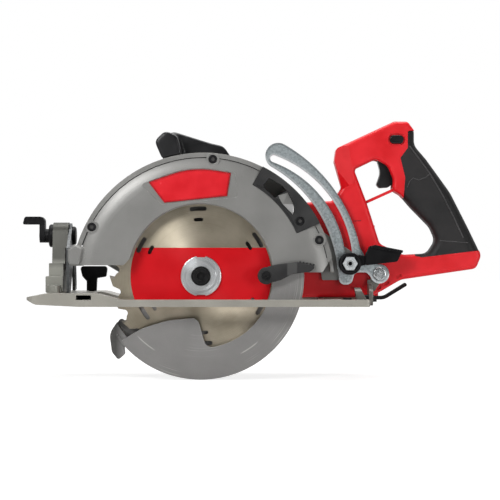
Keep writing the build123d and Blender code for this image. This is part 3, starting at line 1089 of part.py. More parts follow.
HANDLE_HOLE = [(155.3 + HX, 138.2, 4), (168.2 + HX, 104.3, 6), (181.5 + HX, 62.5, 8), (205 + HX, 51.3, 14),
               (230.5 + HX, 52.6, 10), (239.3 + HX, 66, 10), (233.5 + HX, 79.5, 20), (213.7 + HX, 99.7, 30),
               (203 + HX, 112.2, 10), (194 + HX, 117.5, 5), (195.2 + HX, 128, 12), (189.5 + HX, 142, 10),
               (177 + HX, 148.8, 7)]
GRIP_ZONE = [(224.5 + HX, 48.7, 0), (281 + HX, 55.5, 0), (330 + HX, 60, 0), (330 + HX, 179, 0),
             (209.8 + HX, 177.6, 2), (209.8 + HX, 160, 2), (202.3 + HX, 150, 3), (207.2 + HX, 130.2, 6),
             (205.5 + HX, 108, 0), (214 + HX, 70, 0), (217.5 + HX, 50, 0)]
BODY_FOOT = [(BODY_X, 8, 5), (158 + HX, 8, 12), (172 + HX, 8.8, 6), (184 + HX, 14.8, 8), (189 + HX, 24, 8),
             (176 + HX, 80, 8), (164 + HX, 104.2, 8), (104 + HX, 104.5, 6), (BODY_X, 94, 8)]
TRIGGER_PIN = (189.0 + HX, 151.5)
TRIGGER_HALF = 8.0
LOCK_PLACE = (198.5 + HX, 168.7)
HANDLE_SCREWS = [(147 + HX, 148), (228 + HX, 112), (266 + HX, 63), (158 + HX, 92), (100 + HX, 93), (84, 24)]
BODY_SCREWS = [(80.0, 84.0), (80.0, 46.0), (112.0 + HX, 52.0)]
BEAM_NOTCHES = [(180.2 + HX, 17.6), (188 + HX, 22.4), (200.6 + HX, 29.4)]


def handle_face():
    """The side outline of handle and rear body, with the hand hole."""
    return outline(*HANDLE_OUTER) - outline(*HANDLE_HOLE)


def handle_inner(amount):
    """The same outline shrunk inwards from every edge."""
    return outline(*inset(HANDLE_OUTER, amount)) - outline(*inset(HANDLE_HOLE, -amount))


JOINT_Y = -SEAT / 2                           # the left half ends here
INNER = 4.0                                   # side faces of the halves, outside to inside
EDGE_WALL = 5.0                               # wall along their outline


def handle_block():
    """The left half as a full block with its outer edges rounded."""
    body = slab(handle_face(), NEAR_Y, JOINT_Y)
    return fillet(body.faces().sort_by(Axis.Y)[0].edges(), EDGE_R)


def grip_block(depth):
    """The left half of the grip with its wider rounding, that far below the outside of the overmould."""
    corners = [(x, z, max(bend, GRIP_EDGE + 1.5)) for x, z, bend in HANDLE_OUTER]
    face = outline(*inset(corners, depth)) - outline(*inset(HANDLE_HOLE, -depth))
    body = slab(face, NEAR_Y + depth, JOINT_Y)
    body = fillet(body.faces().sort_by(Axis.Y)[0].edges(), GRIP_EDGE - depth)
    return body & slab(outline(*GRIP_ZONE), NEAR_Y - 1, 1)


COLUMN_FLATS = [((150.7 + HX, 156.2), (155.6 + HX, 121.5), 0.24),
                ((135.9 + HX, 146.9), (151.3 + HX, 122.8), 1.1)]      # a line on the near face, and a slope


def column_flat(top, low, slope):
    """What a flat takes off the column: it starts at a line on the near face and falls away forwards."""
    length = hypot(low[0] - top[0], low[1] - top[1])
    ahead = ((low[1] - top[1]) / length, (top[0] - low[0]) / length)
    outward = (slope * ahead[0], -1, slope * ahead[1])
    beyond = Plane((top[0], NEAR_Y, top[1]), z_dir=outward) * Pos(0, 0, 40) * Box(160, 160, 80)
    over_ledge = outline((120 + HX, 103.3, 0), (160 + HX, 128.2, 0), (160 + HX, 170, 0), (120 + HX, 170, 0))
    return beyond & slab(over_ledge, NEAR_Y - 2, JOINT_Y - 2)


def trigger_room():
    """The space that the trigger swings in."""
    return outline((176.5 + HX, 149.5, 1), (185 + HX, 117.5, 1), (191.5 + HX, 118.2, 1), (203.5 + HX, 125.5, 2),
                   (208 + HX, 132, 2), (206.5 + HX, 150, 2), (197 + HX, 160, 2), (182.5 + HX, 158.5, 2))


def lock_shape(grow):
    """The lock-off button's outline in the side view."""
    x, z = LOCK_PLACE
    w, h = 6.9 + grow, 4.2 + grow
    bend = 3.6 + grow
    return outline((x - w, z - h, bend), (x + w, z - h, bend), (x + w, z + h, bend), (x - w, z + h, bend))


def left_openings():
    """Everything cut from the left half: trigger room, pin bore, lock button hole and its pocket."""
    cuts = slab(trigger_room(), -TRIGGER_HALF - 0.5, 1)
    cuts += disc(*TRIGGER_PIN, 2.0 + SEAT, -13, 1)
    cuts += slab(lock_shape(0.25), NEAR_Y - 5, 1)
    return cuts + slab(lock_shape(1.6), NEAR_Y - 5, NEAR_Y + 1.2)


def finger_bar():
    """The thin bar between trigger window and hand hole, left half."""
    bar = bar_between((165.5 + HX, 103.9), (199.5 + HX, 119.3), 3.0)
    return slab(bar, -9, JOINT_Y) - slab(handle_inner(EDGE_WALL - 0.5), NEAR_Y, 0)


def left_shell():
    """The left half without its openings: the walls, the core under the overmould and the bosses."""
    whole = handle_block()
    body = whole - slab(outline(*GRIP_ZONE), NEAR_Y - 1, 1) + grip_block(GRIP_THICK + SEAT)
    body -= slab(handle_inner(EDGE_WALL), NEAR_Y + INNER, 1)
    body += whole & block(120 + HX, 158 + HX, NEAR_Y, NEAR_Y + 15, 110, 164)
    for flat in COLUMN_FLATS:
        body -= column_flat(*flat)
    for x, z in BEAM_NOTCHES:
        body -= slab(Pos(x, z) * Rot(0, 0, 32) * SlotOverall(6.4, 3.2), NEAR_Y - 1, NEAR_Y + 2.6)
    for x, z in HANDLE_SCREWS:
        body += disc(x, z, 4.4, NEAR_Y + INNER - 1, JOINT_Y)
    body += disc(*TRIGGER_PIN, 4.6, NEAR_Y + INNER - 1, -TRIGGER_HALF - 0.5)
    return body + finger_bar()


def handle_left():
    """The left half of handle and rear body."""
    body = left_shell() - left_openings()
    for x, z in HANDLE_SCREWS:
        body -= disc(x, z, HOLE_R, NEAR_Y + INNER, 1)
    for x, z in BODY_SCREWS:
        body += disc(x, z, 4.6, NEAR_Y + INNER - 1, NEAR_Y + 14)
    for x, z in BODY_SCREWS:
        body -= disc(x, z, HOLE_R, NEAR_Y - 1, NEAR_Y + 12)
    return body


HOOK_PLACE = (SHOE_REAR + 8.4, 32.0)          # the hook clears the end of the shoe
HOOK_Z = 4.7
HOOK_THICK = 3.8
RAIL_X = (92.0 + HX, 180.0 + HX)
RAIL_Z = (24.0, 82.0)                         # outer edges of the battery rails
RAIL_H = 8.0


def handle_right():
    """The right half, with the foot that carries the battery rails."""
    body = mirror(left_shell(), about=Plane.XZ)
    foot = slab(outline(*BODY_FOOT), -JOINT_Y, FOOT_FAR_Y)
    foot = fillet(foot.faces().sort_by(Axis.Y)[-1].edges(), EDGE_R)
    room = outline(*inset(BODY_FOOT, INNER))
    body += foot - slab(room, -1, FOOT_FAR_Y - INNER)
    body -= slab(room, -1, FAR_Y + 1) - slab(handle_inner(EDGE_WALL), -1, FAR_Y - INNER)
    body -= mirror(left_openings(), about=Plane.XZ)
    low, high = RAIL_Z
    rail_end = FOOT_FAR_Y + RAIL_H
    for web, lip in (((high - 4, high), (high - 8, high)), ((low, low + 4), (low, low + 8))):
        body += block(*RAIL_X, FOOT_FAR_Y - 1, rail_end, *web) + block(*RAIL_X, rail_end - 3.5, rail_end, *lip)
    for x, z in HANDLE_SCREWS:
        out = FOOT_FAR_Y if x < 180 + HX and z < 100 else FAR_Y
        body += disc(x, z, 5.8, max(-JOINT_Y, out - INNER - 12), out - GRIP_THICK - 0.4)
        body += disc(x, z, 4.4, -JOINT_Y, out - INNER)
        body -= disc(x, z, HOLE_R + 0.3, -1, 60)
        body -= disc(x, z, 4.4, out - 12, 60)
    boss_top = 26.0
    body += bar_z(*HOOK_PLACE, 6.5, 12, boss_top) & slab(outline(*BODY_FOOT), -JOINT_Y, FOOT_FAR_Y)
    body += bar_z(*HOOK_PLACE, 6.5, HOOK_Z + HOOK_THICK + 0.2, 15)
    body -= bar_z(*HOOK_PLACE, 2.5 + SEAT, 0, boss_top - 4)
    for x, z in CONTACT_SCREWS:
        body -= disc(x, z, 1.6, FOOT_FAR_Y - 8, FOOT_FAR_Y + 5)
    return body


def grip_left():
    """The soft overmould on the left half of the grip."""
    return grip_block(0.0) - grip_block(GRIP_THICK) - left_openings()


def grip_right():
    """The soft overmould on the right half of the grip."""
    body = mirror(grip_left(), about=Plane.XZ)
    for x, z in HANDLE_SCREWS:
        body -= disc(x, z, 4.4, FAR_Y - 12, 60)
    return body


def handle_screws():
    """The screws that join the handle halves, put in from the far side, as one group."""
    group = []
    for x, z in HANDLE_SCREWS:
        out = FOOT_FAR_Y if x < 180 + HX and z < 100 else FAR_Y
        head = disc(x, z, 4.0, out - 12 + SEAT, out - 9.5)
        screw = head + disc(x, z, HOLE_R - SEAT, -11, out - 11)
        group.append(screw - slab(Pos(x, z) * RegularPolygon(1.9, 6), out - 11, out))
    return Compound(children=group)


def guard_screws():
    """The screws through the casting's far wall into the rear body and the front handle, as one group."""
    group = []
    head_y = GUARD_BACK_Y - BACK_WALL
    for x, z in BODY_SCREWS + AUX_SCREWS:
        head = disc(x, z, 4.6, head_y - 2.6, head_y - SEAT)
        group.append(head + disc(x, z, HOLE_R - SEAT, head_y - 1, NEAR_Y + 11))
    return Compound(children=group)


# What is in the handle
CONTACT_SCREWS = [(98.0 + HX, 36.5), (98.0 + HX, 69.5)]
SWITCH_X = 209.2 + HX


def trigger():
    """The trigger, with a concave front, on its pin."""
    face = outline((179.6 + HX, 147.2, 2), (182.9 + HX, 135.4, 16), (178.6 + HX, 123.2, 2),
                   (181.6 + HX, 119.6, 2), (190.5 + HX, 120.2, 3), (201 + HX, 128, 4), (200 + HX, 146, 6),
                   (194.5 + HX, 156.5, 4), (184.8 + HX, 155.5, 4))
    body = slab(face, -TRIGGER_HALF, TRIGGER_HALF)
    front = [e for e in body.edges() if abs(e.center().Y) > TRIGGER_HALF - 0.1 and e.center().X < 183.2 + HX]
    body = fillet(front, 1.2)
    return body - disc(*TRIGGER_PIN, 2.0 + RUN, -20, 20)


def trigger_pin():
    """The pin that the trigger turns on."""
    return disc(*TRIGGER_PIN, 2.0, -12.5, 12.5)


def switch():
    """The switch module behind the trigger, with its plunger."""
    wall = NEAR_Y + INNER + SEAT
    body = block(SWITCH_X, SWITCH_X + 13, wall, -wall, 124, 147)
    body += block(SWITCH_X + 2, SWITCH_X + 7, -5, 5, 146, 152)
    return fillet(body.edges().filter_by(Axis.Y), 0.6)


def lock_button():
    """The lock-off button through both halves."""
    body = slab(lock_shape(0.0), NEAR_Y - 1.6, FAR_Y + 1.6)
    ends = [body.faces().sort_by(Axis.Y)[0], body.faces().sort_by(Axis.Y)[-1]]
    return fillet([e for f in ends for e in f.edges()], 1.0)


def control_board():
    """The potted motor controller in the rear body."""
    body = block(92 + HX, 152 + HX, 12, 30, 32, 78)
    for i in range(7):
        body += block(96 + 8 * i + HX, 98 + 8 * i + HX, 29, FOOT_FAR_Y - INNER - SEAT, 34, 76)
    return body


def terminal_block():
    """The battery terminal block between the rails, with its slots."""
    body = block(94 + HX, 112 + HX, FOOT_FAR_Y + SEAT, FOOT_FAR_Y + 6, 33, 73)
    body = fillet(body.edges().filter_by(Axis.Y), 1.5)
    for z in CONTACT_Z:
        body -= block(100 + HX, 113 + HX, FOOT_FAR_Y + 1.5, FOOT_FAR_Y + 7, z - 2, z + 2)
    for x, z in CONTACT_SCREWS:
        body -= disc(x, z, 1.6, 0, 80)
    return body


CONTACT_Z = (41.0, 49.0, 57.0, 65.0)


def contacts():
    """The metal blades of the terminal block, as one group."""
    x0 = 100 + HX
    near, far = FOOT_FAR_Y + 1.5 + SEAT, FOOT_FAR_Y + 5
    return Compound(children=[block(x0 + SEAT, x0 + 14, near, far, z - 0.5, z + 0.5) for z in CONTACT_Z])


# Rafter hook
def rafter_hook():
    """The folding hook: a flat bar bent up behind the shoe, with an eye on its pivot screw."""
    x, y = HOOK_PLACE
    tip = (x + 36.5, HOOK_Z + 14.6)
    side = outline((x - 8, HOOK_Z, 0), (x + 12.6, HOOK_Z, 14), (*tip, 1.6), (tip[0] - 1.8, tip[1] + 3.4, 1.6),
                   (x + 11.8, HOOK_Z + HOOK_THICK, 11), (x - 8, HOOK_Z + HOOK_THICK, 0))
    half = 4.8
    plan = outline((x, y - half, 0), (x + 40, y - half, 0), (x + 40, y + half, 0), (x, y + half, 0))
    plan += Pos(x, y) * Circle(6.4)
    body = slab(side, y - 10, y + 10) & layer(plan, 0, 40)
    return body - bar_z(x, y, 2.5 + RUN, 0, 40)


def hook_screw():
    """The screw that the rafter hook turns on."""
    x, y = HOOK_PLACE
    return bar_z(x, y, 5.0, HOOK_Z - 2.4, HOOK_Z - 0.15) + bar_z(x, y, 2.5, HOOK_Z - 1, 21)


NODES = [shoe, bevel_post, rear_bracket, shoe_screws, bevel_bolt, bevel_lever, fence_knob, bevel_quadrant,
         bevel_pins, depth_pivot_pin, rear_trunnion, arm_pin, depth_arm, depth_bolt, depth_lever, depth_nut,
         upper_guard, guard_cover, cover_screws, badge_plate, dust_chute, aux_handle, guard_screws, lower_guard,
         guard_lever, guard_lever_screw, guard_ring, guard_spring, blade, carbide_tips, outer_flange, arbor_bolt,
         inner_flange, spindle, drive_gear, pinion, rotor, fan, gear_case, bearing_plate, front_spindle_bearing,
         small_bearings, stator, stator_coils, motor_housing, motor_screws, handle_left, handle_right, grip_left,
         grip_right, handle_screws, trigger, trigger_pin, switch, lock_button, control_board, terminal_block,
         contacts, rafter_hook, hook_screw]

os.makedirs("parts", exist_ok=True)
for make in NODES:
    export_step(make(), "parts/" + make.__name__ + ".step")
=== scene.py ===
from math import cos, radians, sin

import bmesh
import bpy
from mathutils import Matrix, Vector
from mathutils.bvhtree import BVHTree


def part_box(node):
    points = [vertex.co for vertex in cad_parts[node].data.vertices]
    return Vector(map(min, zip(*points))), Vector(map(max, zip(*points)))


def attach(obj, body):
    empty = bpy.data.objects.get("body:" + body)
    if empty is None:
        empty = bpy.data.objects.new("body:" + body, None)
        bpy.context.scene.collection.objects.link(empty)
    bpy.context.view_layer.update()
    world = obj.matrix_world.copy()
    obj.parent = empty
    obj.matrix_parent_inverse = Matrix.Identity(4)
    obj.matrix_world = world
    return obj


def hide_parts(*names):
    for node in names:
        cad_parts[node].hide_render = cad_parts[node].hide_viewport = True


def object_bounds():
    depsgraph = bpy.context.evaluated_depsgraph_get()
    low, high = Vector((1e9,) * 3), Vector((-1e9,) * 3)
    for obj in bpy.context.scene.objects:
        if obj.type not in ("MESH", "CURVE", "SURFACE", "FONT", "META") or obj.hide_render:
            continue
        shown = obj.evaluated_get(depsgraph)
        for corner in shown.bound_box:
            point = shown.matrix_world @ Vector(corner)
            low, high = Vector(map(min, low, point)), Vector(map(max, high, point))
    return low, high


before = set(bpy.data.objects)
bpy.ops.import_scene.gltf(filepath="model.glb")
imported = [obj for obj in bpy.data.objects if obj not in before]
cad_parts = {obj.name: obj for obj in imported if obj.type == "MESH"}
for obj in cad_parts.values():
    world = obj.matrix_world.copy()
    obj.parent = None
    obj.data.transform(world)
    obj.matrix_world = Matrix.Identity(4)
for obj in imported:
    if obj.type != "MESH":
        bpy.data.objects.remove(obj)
cad_low, cad_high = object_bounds()

# Studio: a pale sheet under the saw that fades into a white surround, three large soft lamps, and a
# camera level with the saw, two metres off its blade side.
MM = 0.001
CAMERA_PLACE = (49.3 * MM, -2038 * MM, 56.2 * MM)
FRAME_WIDTH = 503.5 * MM
BLADE_PLANE = -38 * MM
SENSOR_WIDTH = 36
SHEET_HALF = 6.0
SHEET_GAP = 0.4 * MM
PAPER_SEEN = (0.42, 0.42, 0.42, 1)
PAPER_LIT = (0.75, 0.75, 0.75, 1)
PAPER_FADE = {"From Min": 0.25, "From Max": 1.2, "To Min": 0.82, "To Max": 1.0}
SURROUND_FADE = {"From Min": -0.5, "From Max": 0.3}
SURROUND_LEVEL = {"To Min": 0.12, "To Max": 1.0}
LAMP_AIM = Vector((0.05, 0.0, 0.05))

sheet_mesh = bpy.data.meshes.new("studio_sheet")
sheet_corners = [(-SHEET_HALF, -SHEET_HALF, 0), (SHEET_HALF, -SHEET_HALF, 0),
                 (SHEET_HALF, SHEET_HALF, 0), (-SHEET_HALF, SHEET_HALF, 0)]
sheet_mesh.from_pydata(sheet_corners, [], [(0, 1, 2, 3)])
studio_sheet = bpy.data.objects.new("studio_sheet", sheet_mesh)
bpy.context.collection.objects.link(studio_sheet)
studio_sheet.location.z = cad_low[2] - SHEET_GAP

paper = bpy.data.materials.new("studio_paper")
paper.use_nodes = True
paper_nodes, paper_links = paper.node_tree.nodes, paper.node_tree.links
paper_nodes.clear()
paper_matt = paper_nodes.new("ShaderNodeBsdfDiffuse")
paper_matt.inputs["Color"].default_value = PAPER_SEEN
paper_glow = paper_nodes.new("ShaderNodeEmission")
paper_place = paper_nodes.new("ShaderNodeTexCoord")
paper_reach = paper_nodes.new("ShaderNodeVectorMath")
paper_reach.operation = "LENGTH"
paper_fade = paper_nodes.new("ShaderNodeMapRange")
for label, number in PAPER_FADE.items():
    paper_fade.inputs[label].default_value = number
paper_links.new(paper_place.outputs["Object"], paper_reach.inputs[0])
paper_links.new(paper_reach.outputs["Value"], paper_fade.inputs["Value"])
paper_links.new(paper_fade.outputs["Result"], paper_glow.inputs["Strength"])
paper_sum = paper_nodes.new("ShaderNodeAddShader")
paper_rays = paper_nodes.new("ShaderNodeLightPath")
paper_pick = paper_nodes.new("ShaderNodeMixShader")
paper_dull = paper_nodes.new("ShaderNodeBsdfDiffuse")
paper_dull.inputs["Color"].default_value = PAPER_LIT
paper_out = paper_nodes.new("ShaderNodeOutputMaterial")
paper_links.new(paper_matt.outputs[0], paper_sum.inputs[0])
paper_links.new(paper_glow.outputs[0], paper_sum.inputs[1])
paper_links.new(paper_rays.outputs["Is Camera Ray"], paper_pick.inputs[0])
paper_links.new(paper_dull.outputs[0], paper_pick.inputs[1])
paper_links.new(paper_sum.outputs[0], paper_pick.inputs[2])
paper_links.new(paper_pick.outputs[0], paper_out.inputs["Surface"])
sheet_mesh.materials.append(paper)

scene = bpy.context.scene
scene.view_settings.view_transform = "Standard"
world = scene.world or bpy.data.worlds.new("surround")
scene.world = world
world.use_nodes = True
world_nodes, world_links = world.node_tree.nodes, world.node_tree.links
world_nodes.clear()
world_rays = world_nodes.new("ShaderNodeLightPath")
world_way = world_nodes.new("ShaderNodeTexCoord")
world_split = world_nodes.new("ShaderNodeSeparateXYZ")
world_behind = world_nodes.new("ShaderNodeMapRange")
for label, number in SURROUND_FADE.items():
    world_behind.inputs[label].default_value = number
world_gloss = world_nodes.new("ShaderNodeMath")
world_gloss.operation = "MULTIPLY"
world_clear = world_nodes.new("ShaderNodeMath")
world_clear.operation = "MAXIMUM"
world_seen = world_nodes.new("ShaderNodeMath")
world_seen.operation = "MAXIMUM"
world_level = world_nodes.new("ShaderNodeMapRange")
for label, number in SURROUND_LEVEL.items():
    world_level.inputs[label].default_value = number
world_light = world_nodes.new("ShaderNodeBackground")
world_light.inputs["Color"].default_value = (1, 1, 1, 1)
world_out = world_nodes.new("ShaderNodeOutputWorld")
world_links.new(world_way.outputs["Generated"], world_split.inputs[0])
world_links.new(world_split.outputs["Y"], world_behind.inputs["Value"])
world_links.new(world_behind.outputs["Result"], world_gloss.inputs[0])
world_links.new(world_rays.outputs["Is Glossy Ray"], world_gloss.inputs[1])
world_links.new(world_rays.outputs["Is Camera Ray"], world_clear.inputs[0])
world_links.new(world_rays.outputs["Is Transmission Ray"], world_clear.inputs[1])
world_links.new(world_clear.outputs[0], world_seen.inputs[0])
world_links.new(world_gloss.outputs[0], world_seen.inputs[1])
world_links.new(world_seen.outputs[0], world_level.inputs["Value"])
world_links.new(world_level.outputs[0], world_light.inputs["Strength"])
world_links.new(world_light.outputs[0], world_out.inputs["Surface"])


def soft_lamp(name, place, size, watts):
    """A square soft box that points at the middle of the saw."""
    lamp = bpy.data.lights.new(name, "AREA")
    lamp.size = size
    lamp.energy = watts
    obj = bpy.data.objects.new(name, lamp)
    obj.location = place
    aim = LAMP_AIM - obj.location
    obj.rotation_euler = aim.to_track_quat("-Z", "Y").to_euler()
    bpy.context.collection.objects.link(obj)


soft_lamp("key_lamp", (-0.46, -0.92, 0.56), 0.36, 7.0)
soft_lamp("fill_lamp", (1.00, -1.40, 0.10), 0.5, 6.5)
soft_lamp("top_lamp", (0.10, 0.10, 1.30), 1.0, 18)

camera_data = bpy.data.cameras.new("camera")
camera_data.sensor_width = SENSOR_WIDTH
camera_data.lens = SENSOR_WIDTH * (BLADE_PLANE - CAMERA_PLACE[1]) / FRAME_WIDTH
camera_data.clip_end = 30
camera = bpy.data.objects.new("camera", camera_data)
camera.location = CAMERA_PLACE
camera.rotation_euler = (radians(90), 0, 0)
bpy.context.collection.objects.link(camera)
scene.camera = camera

# Shoe: one magnesium casting with a satin warm grey powder coat. The coat is fine and pebbly, it is rubbed
# bright along its edges, and the sole is scored lengthwise where it slides over the work.
SHOE_DARK = (0.270, 0.260, 0.228)
SHOE_LIGHT = (0.400, 0.384, 0.340)
BARE_METAL = (0.62, 0.61, 0.57)
COAT_ROUGH = (0.34, 0.44)
COAT_METAL = (0.34, 0.85)
SCORE_STRETCH = (14, 900, 200)
NOISE_LOW, NOISE_HIGH = 0.3, 0.7
COLOR_A, COLOR_B, COLOR_OUT = 6, 7, 2


def new_finish(name, roughness, metallic=0.0):
    """An empty material; gives the material, its node tree and its shader."""
    material = bpy.data.materials.new(name)
    material.use_nodes = True
    shader = material.node_tree.nodes["Principled BSDF"]
    shader.inputs["Roughness"].default_value = roughness
    shader.inputs["Metallic"].default_value = metallic
    return material, material.node_tree, shader


def dress(material, *nodes):
    """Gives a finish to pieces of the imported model."""
    for node in nodes:
        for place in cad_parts[node].material_slots:
            place.material = material


def start_group(name, inputs, outputs):
    """An empty node group with number inputs and outputs; gives it with its two end nodes."""
    group = bpy.data.node_groups.new(name, "ShaderNodeTree")
    for label, value in inputs.items():
        group.interface.new_socket(label, in_out="INPUT", socket_type="NodeSocketFloat").default_value = value
    for label in outputs:
        group.interface.new_socket(label, in_out="OUTPUT", socket_type="NodeSocketFloat")
    return group, group.nodes.new("NodeGroupInput"), group.nodes.new("NodeGroupOutput")


def put_group(tree, group, **values):
    """Places a group in a material, with its own input values."""
    node = tree.nodes.new("ShaderNodeGroup")
    node.node_tree = group
    for label, value in values.items():
        node.inputs[label.capitalize()].default_value = value
    return node


def add_noise(tree, scale, detail=3.0, stretch=None):
    """Noise over the piece's own coordinates; stretch gives another scale along each axis."""
    place = tree.nodes.new("ShaderNodeTexCoord").outputs["Object"]
    if stretch:
        longer = tree.nodes.new("ShaderNodeVectorMath")
        longer.operation = "MULTIPLY"
        longer.inputs[1].default_value = stretch
        tree.links.new(place, longer.inputs[0])
        place = longer.outputs[0]
    noise = tree.nodes.new("ShaderNodeTexNoise")
    noise.inputs["Detail"].default_value = detail
    tree.links.new(place, noise.inputs["Vector"])
    if isinstance(scale, bpy.types.NodeSocket):
        tree.links.new(scale, noise.inputs["Scale"])
    else:
        noise.inputs["Scale"].default_value = scale
    return noise.outputs["Fac"]


def split_place(tree, kind="Object"):
    """The piece's own coordinates, or with kind Normal the way its surface faces, as three values."""
    place = tree.nodes.new("ShaderNodeTexCoord")
    split = tree.nodes.new("ShaderNodeSeparateXYZ")
    tree.links.new(place.outputs[kind], split.inputs[0])
    return split.outputs


def remap(tree, value, low, high, to_low=0.0, to_high=1.0):
    """A value stretched from one range to another and held there."""
    node = tree.nodes.new("ShaderNodeMapRange")
    for label, number in (("From Min", low), ("From Max", high), ("To Min", to_low), ("To Max", to_high)):
        node.inputs[label].default_value = number
    tree.links.new(value, node.inputs["Value"])
    return node.outputs["Result"]


def spread(tree, noise, to_low=0.0, to_high=1.0):
    """The middle part of a noise, where most of it lies, stretched over a range."""
    return remap(tree, noise, NOISE_LOW, NOISE_HIGH, to_low, to_high)


def combine(tree, operation, a, b=0.0):
    """Two values, or a value and a number, put together by a math node."""
    node = tree.nodes.new("ShaderNodeMath")
    node.operation = operation
    for socket, value in zip(node.inputs, (a, b)):
        if isinstance(value, bpy.types.NodeSocket):
            tree.links.new(value, socket)
        else:
            socket.default_value = value
    return node.outputs[0]


def weigh(tree, a, a_share, b, b_share):
    """Two values added up, each with its share."""
    return combine(tree, "ADD", combine(tree, "MULTIPLY", a, a_share), combine(tree, "MULTIPLY", b, b_share))


def blend_color(tree, factor, low, high):
    """A colour that goes from low to high with a mask."""
    node = tree.nodes.new("ShaderNodeMix")
    node.data_type = "RGBA"
    tree.links.new(factor, node.inputs[0])
    for socket, value in ((node.inputs[COLOR_A], low), (node.inputs[COLOR_B], high)):
        if isinstance(value, bpy.types.NodeSocket):
            tree.links.new(value, socket)
        else:
            socket.default_value = (*value, 1)
    return node.outputs[COLOR_OUT]


def soft_bump(tree, shader, height, depth, round_edge):
    """Bump of a depth in millimetres, over edges that catch the light as if rounded."""
    edge = tree.nodes.new("ShaderNodeBevel")
    edge.samples = 4
    edge.inputs["Radius"].default_value = round_edge * MM
    bump = tree.nodes.new("ShaderNodeBump")
    bump.inputs["Distance"].default_value = depth * MM
    tree.links.new(height, bump.inputs["Height"])
    tree.links.new(edge.outputs[0], bump.inputs["Normal"])
    tree.links.new(bump.outputs[0], shader.inputs["Normal"])


RUB_INPUTS = {"Width": 0.6 * MM, "Amount": 0.6, "Even": 0.0, "Start": 0.985, "Full": 0.90}
edge_rub, rub_in, rub_out = start_group("edge_rub", RUB_INPUTS, ["Mask", "Up"])
rub_round = edge_rub.nodes.new("ShaderNodeBevel")
rub_round.samples = 4
edge_rub.links.new(rub_in.outputs["Width"], rub_round.inputs["Radius"])
rub_flat = edge_rub.nodes.new("ShaderNodeNewGeometry")
rub_turn = edge_rub.nodes.new("ShaderNodeVectorMath")
rub_turn.operation = "DOT_PRODUCT"
edge_rub.links.new(rub_round.outputs[0], rub_turn.inputs[0])
edge_rub.links.new(rub_flat.outputs["Normal"], rub_turn.inputs[1])
rub_edge = edge_rub.nodes.new("ShaderNodeMapRange")
edge_rub.links.new(rub_turn.outputs["Value"], rub_edge.inputs["Value"])
edge_rub.links.new(rub_in.outputs["Start"], rub_edge.inputs["From Min"])
edge_rub.links.new(rub_in.outputs["Full"], rub_edge.inputs["From Max"])
rub_way = edge_rub.nodes.new("ShaderNodeSeparateXYZ")
edge_rub.links.new(rub_round.outputs[0], rub_way.inputs[0])
edge_rub.links.new(rub_way.outputs["Z"], rub_out.inputs["Up"])
rub_patch = remap(edge_rub, add_noise(edge_rub, 160, 5), 0.40, 0.62)
rub_patch = combine(edge_rub, "MAXIMUM", rub_patch, rub_in.outputs["Even"])
rub_mask = combine(edge_rub, "MULTIPLY", rub_edge.outputs["Result"], rub_patch)
edge_rub.links.new(combine(edge_rub, "MULTIPLY", rub_mask, rub_in.outputs["Amount"]), rub_out.inputs["Mask"])

cast_skin, skin_in, skin_out = start_group("cast_skin", {"Scale": 1400.0}, ["Height", "Shade"])
skin_fine = add_noise(cast_skin, skin_in.outputs["Scale"], 2)
skin_wide = remap(cast_skin, add_noise(cast_skin, 22, 4), 0.30, 0.72)
skin_tone = weigh(cast_skin, skin_wide, 0.62, spread(cast_skin, skin_fine), 0.38)
cast_skin.links.new(skin_fine, skin_out.inputs["Height"])
cast_skin.links.new(skin_tone, skin_out.inputs["Shade"])


def coated_casting(name, dark, light, rub_amount):
    """Powder coat over a casting; gives the material, tree, shader and the colour so far."""
    material, tree, shader = new_finish(name, 0.5)
    skin = put_group(tree, cast_skin, scale=1500)
    rub = put_group(tree, edge_rub, width=0.7 * MM, amount=rub_amount)
    color = blend_color(tree, skin.outputs["Shade"], dark, light)
    color = blend_color(tree, rub.outputs["Mask"], color, BARE_METAL)
    tree.links.new(spread(tree, skin.outputs["Height"], *COAT_ROUGH), shader.inputs["Roughness"])
    tree.links.new(remap(tree, rub.outputs["Mask"], 0.0, 1.0, *COAT_METAL), shader.inputs["Metallic"])
    tree.links.new(color, shader.inputs["Base Color"])
    soft_bump(tree, shader, skin.outputs["Height"], 0.03, 0.5)
    return material, tree, shader, color


shoe_coat, shoe_tree, shoe_shader, shoe_color = coated_casting("shoe_coat", SHOE_DARK, SHOE_LIGHT, 0.55)
sole_down = remap(shoe_tree, split_place(shoe_tree, "Normal")["Z"], -0.90, -0.98)
sole_score = remap(shoe_tree, add_noise(shoe_tree, 1.0, 6, SCORE_STRETCH), 0.50, 0.66)
sole_mask = combine(shoe_tree, "MULTIPLY", sole_down, sole_score)
shoe_color = blend_color(shoe_tree, sole_mask, shoe_color, BARE_METAL)
shoe_tree.links.new(shoe_color, shoe_shader.inputs["Base Color"])
dress(shoe_coat, "shoe")

# Bevel post: a second casting, screwed to the nose of the shoe, in a duller coat than the shoe's. The
# quadrant is clamped against its back, and its upper part is painted darker, a painted shade.
POST_DARK = (0.230, 0.230, 0.205)
POST_LIGHT = (0.345, 0.343, 0.307)
POST_SHADE = (0.022, 0.022, 0.020)
POST_SHADE_FOOT = 38 * MM
POST_SHADE_FULL = 48 * MM
post_coat, post_tree, post_shader, post_color = coated_casting("post_coat", POST_DARK, POST_LIGHT, 0.5)
post_shader.inputs["Specular IOR Level"].default_value = 0.1
# painted shade: the coat darkens towards the top of the post
post_shade = remap(post_tree, split_place(post_tree)["Z"], POST_SHADE_FOOT, POST_SHADE_FULL, 0.0, 0.8)
post_color = blend_color(post_tree, post_shade, post_color, POST_SHADE)
post_tree.links.new(post_color, post_shader.inputs["Base Color"])
dress(post_coat, "bevel_post")

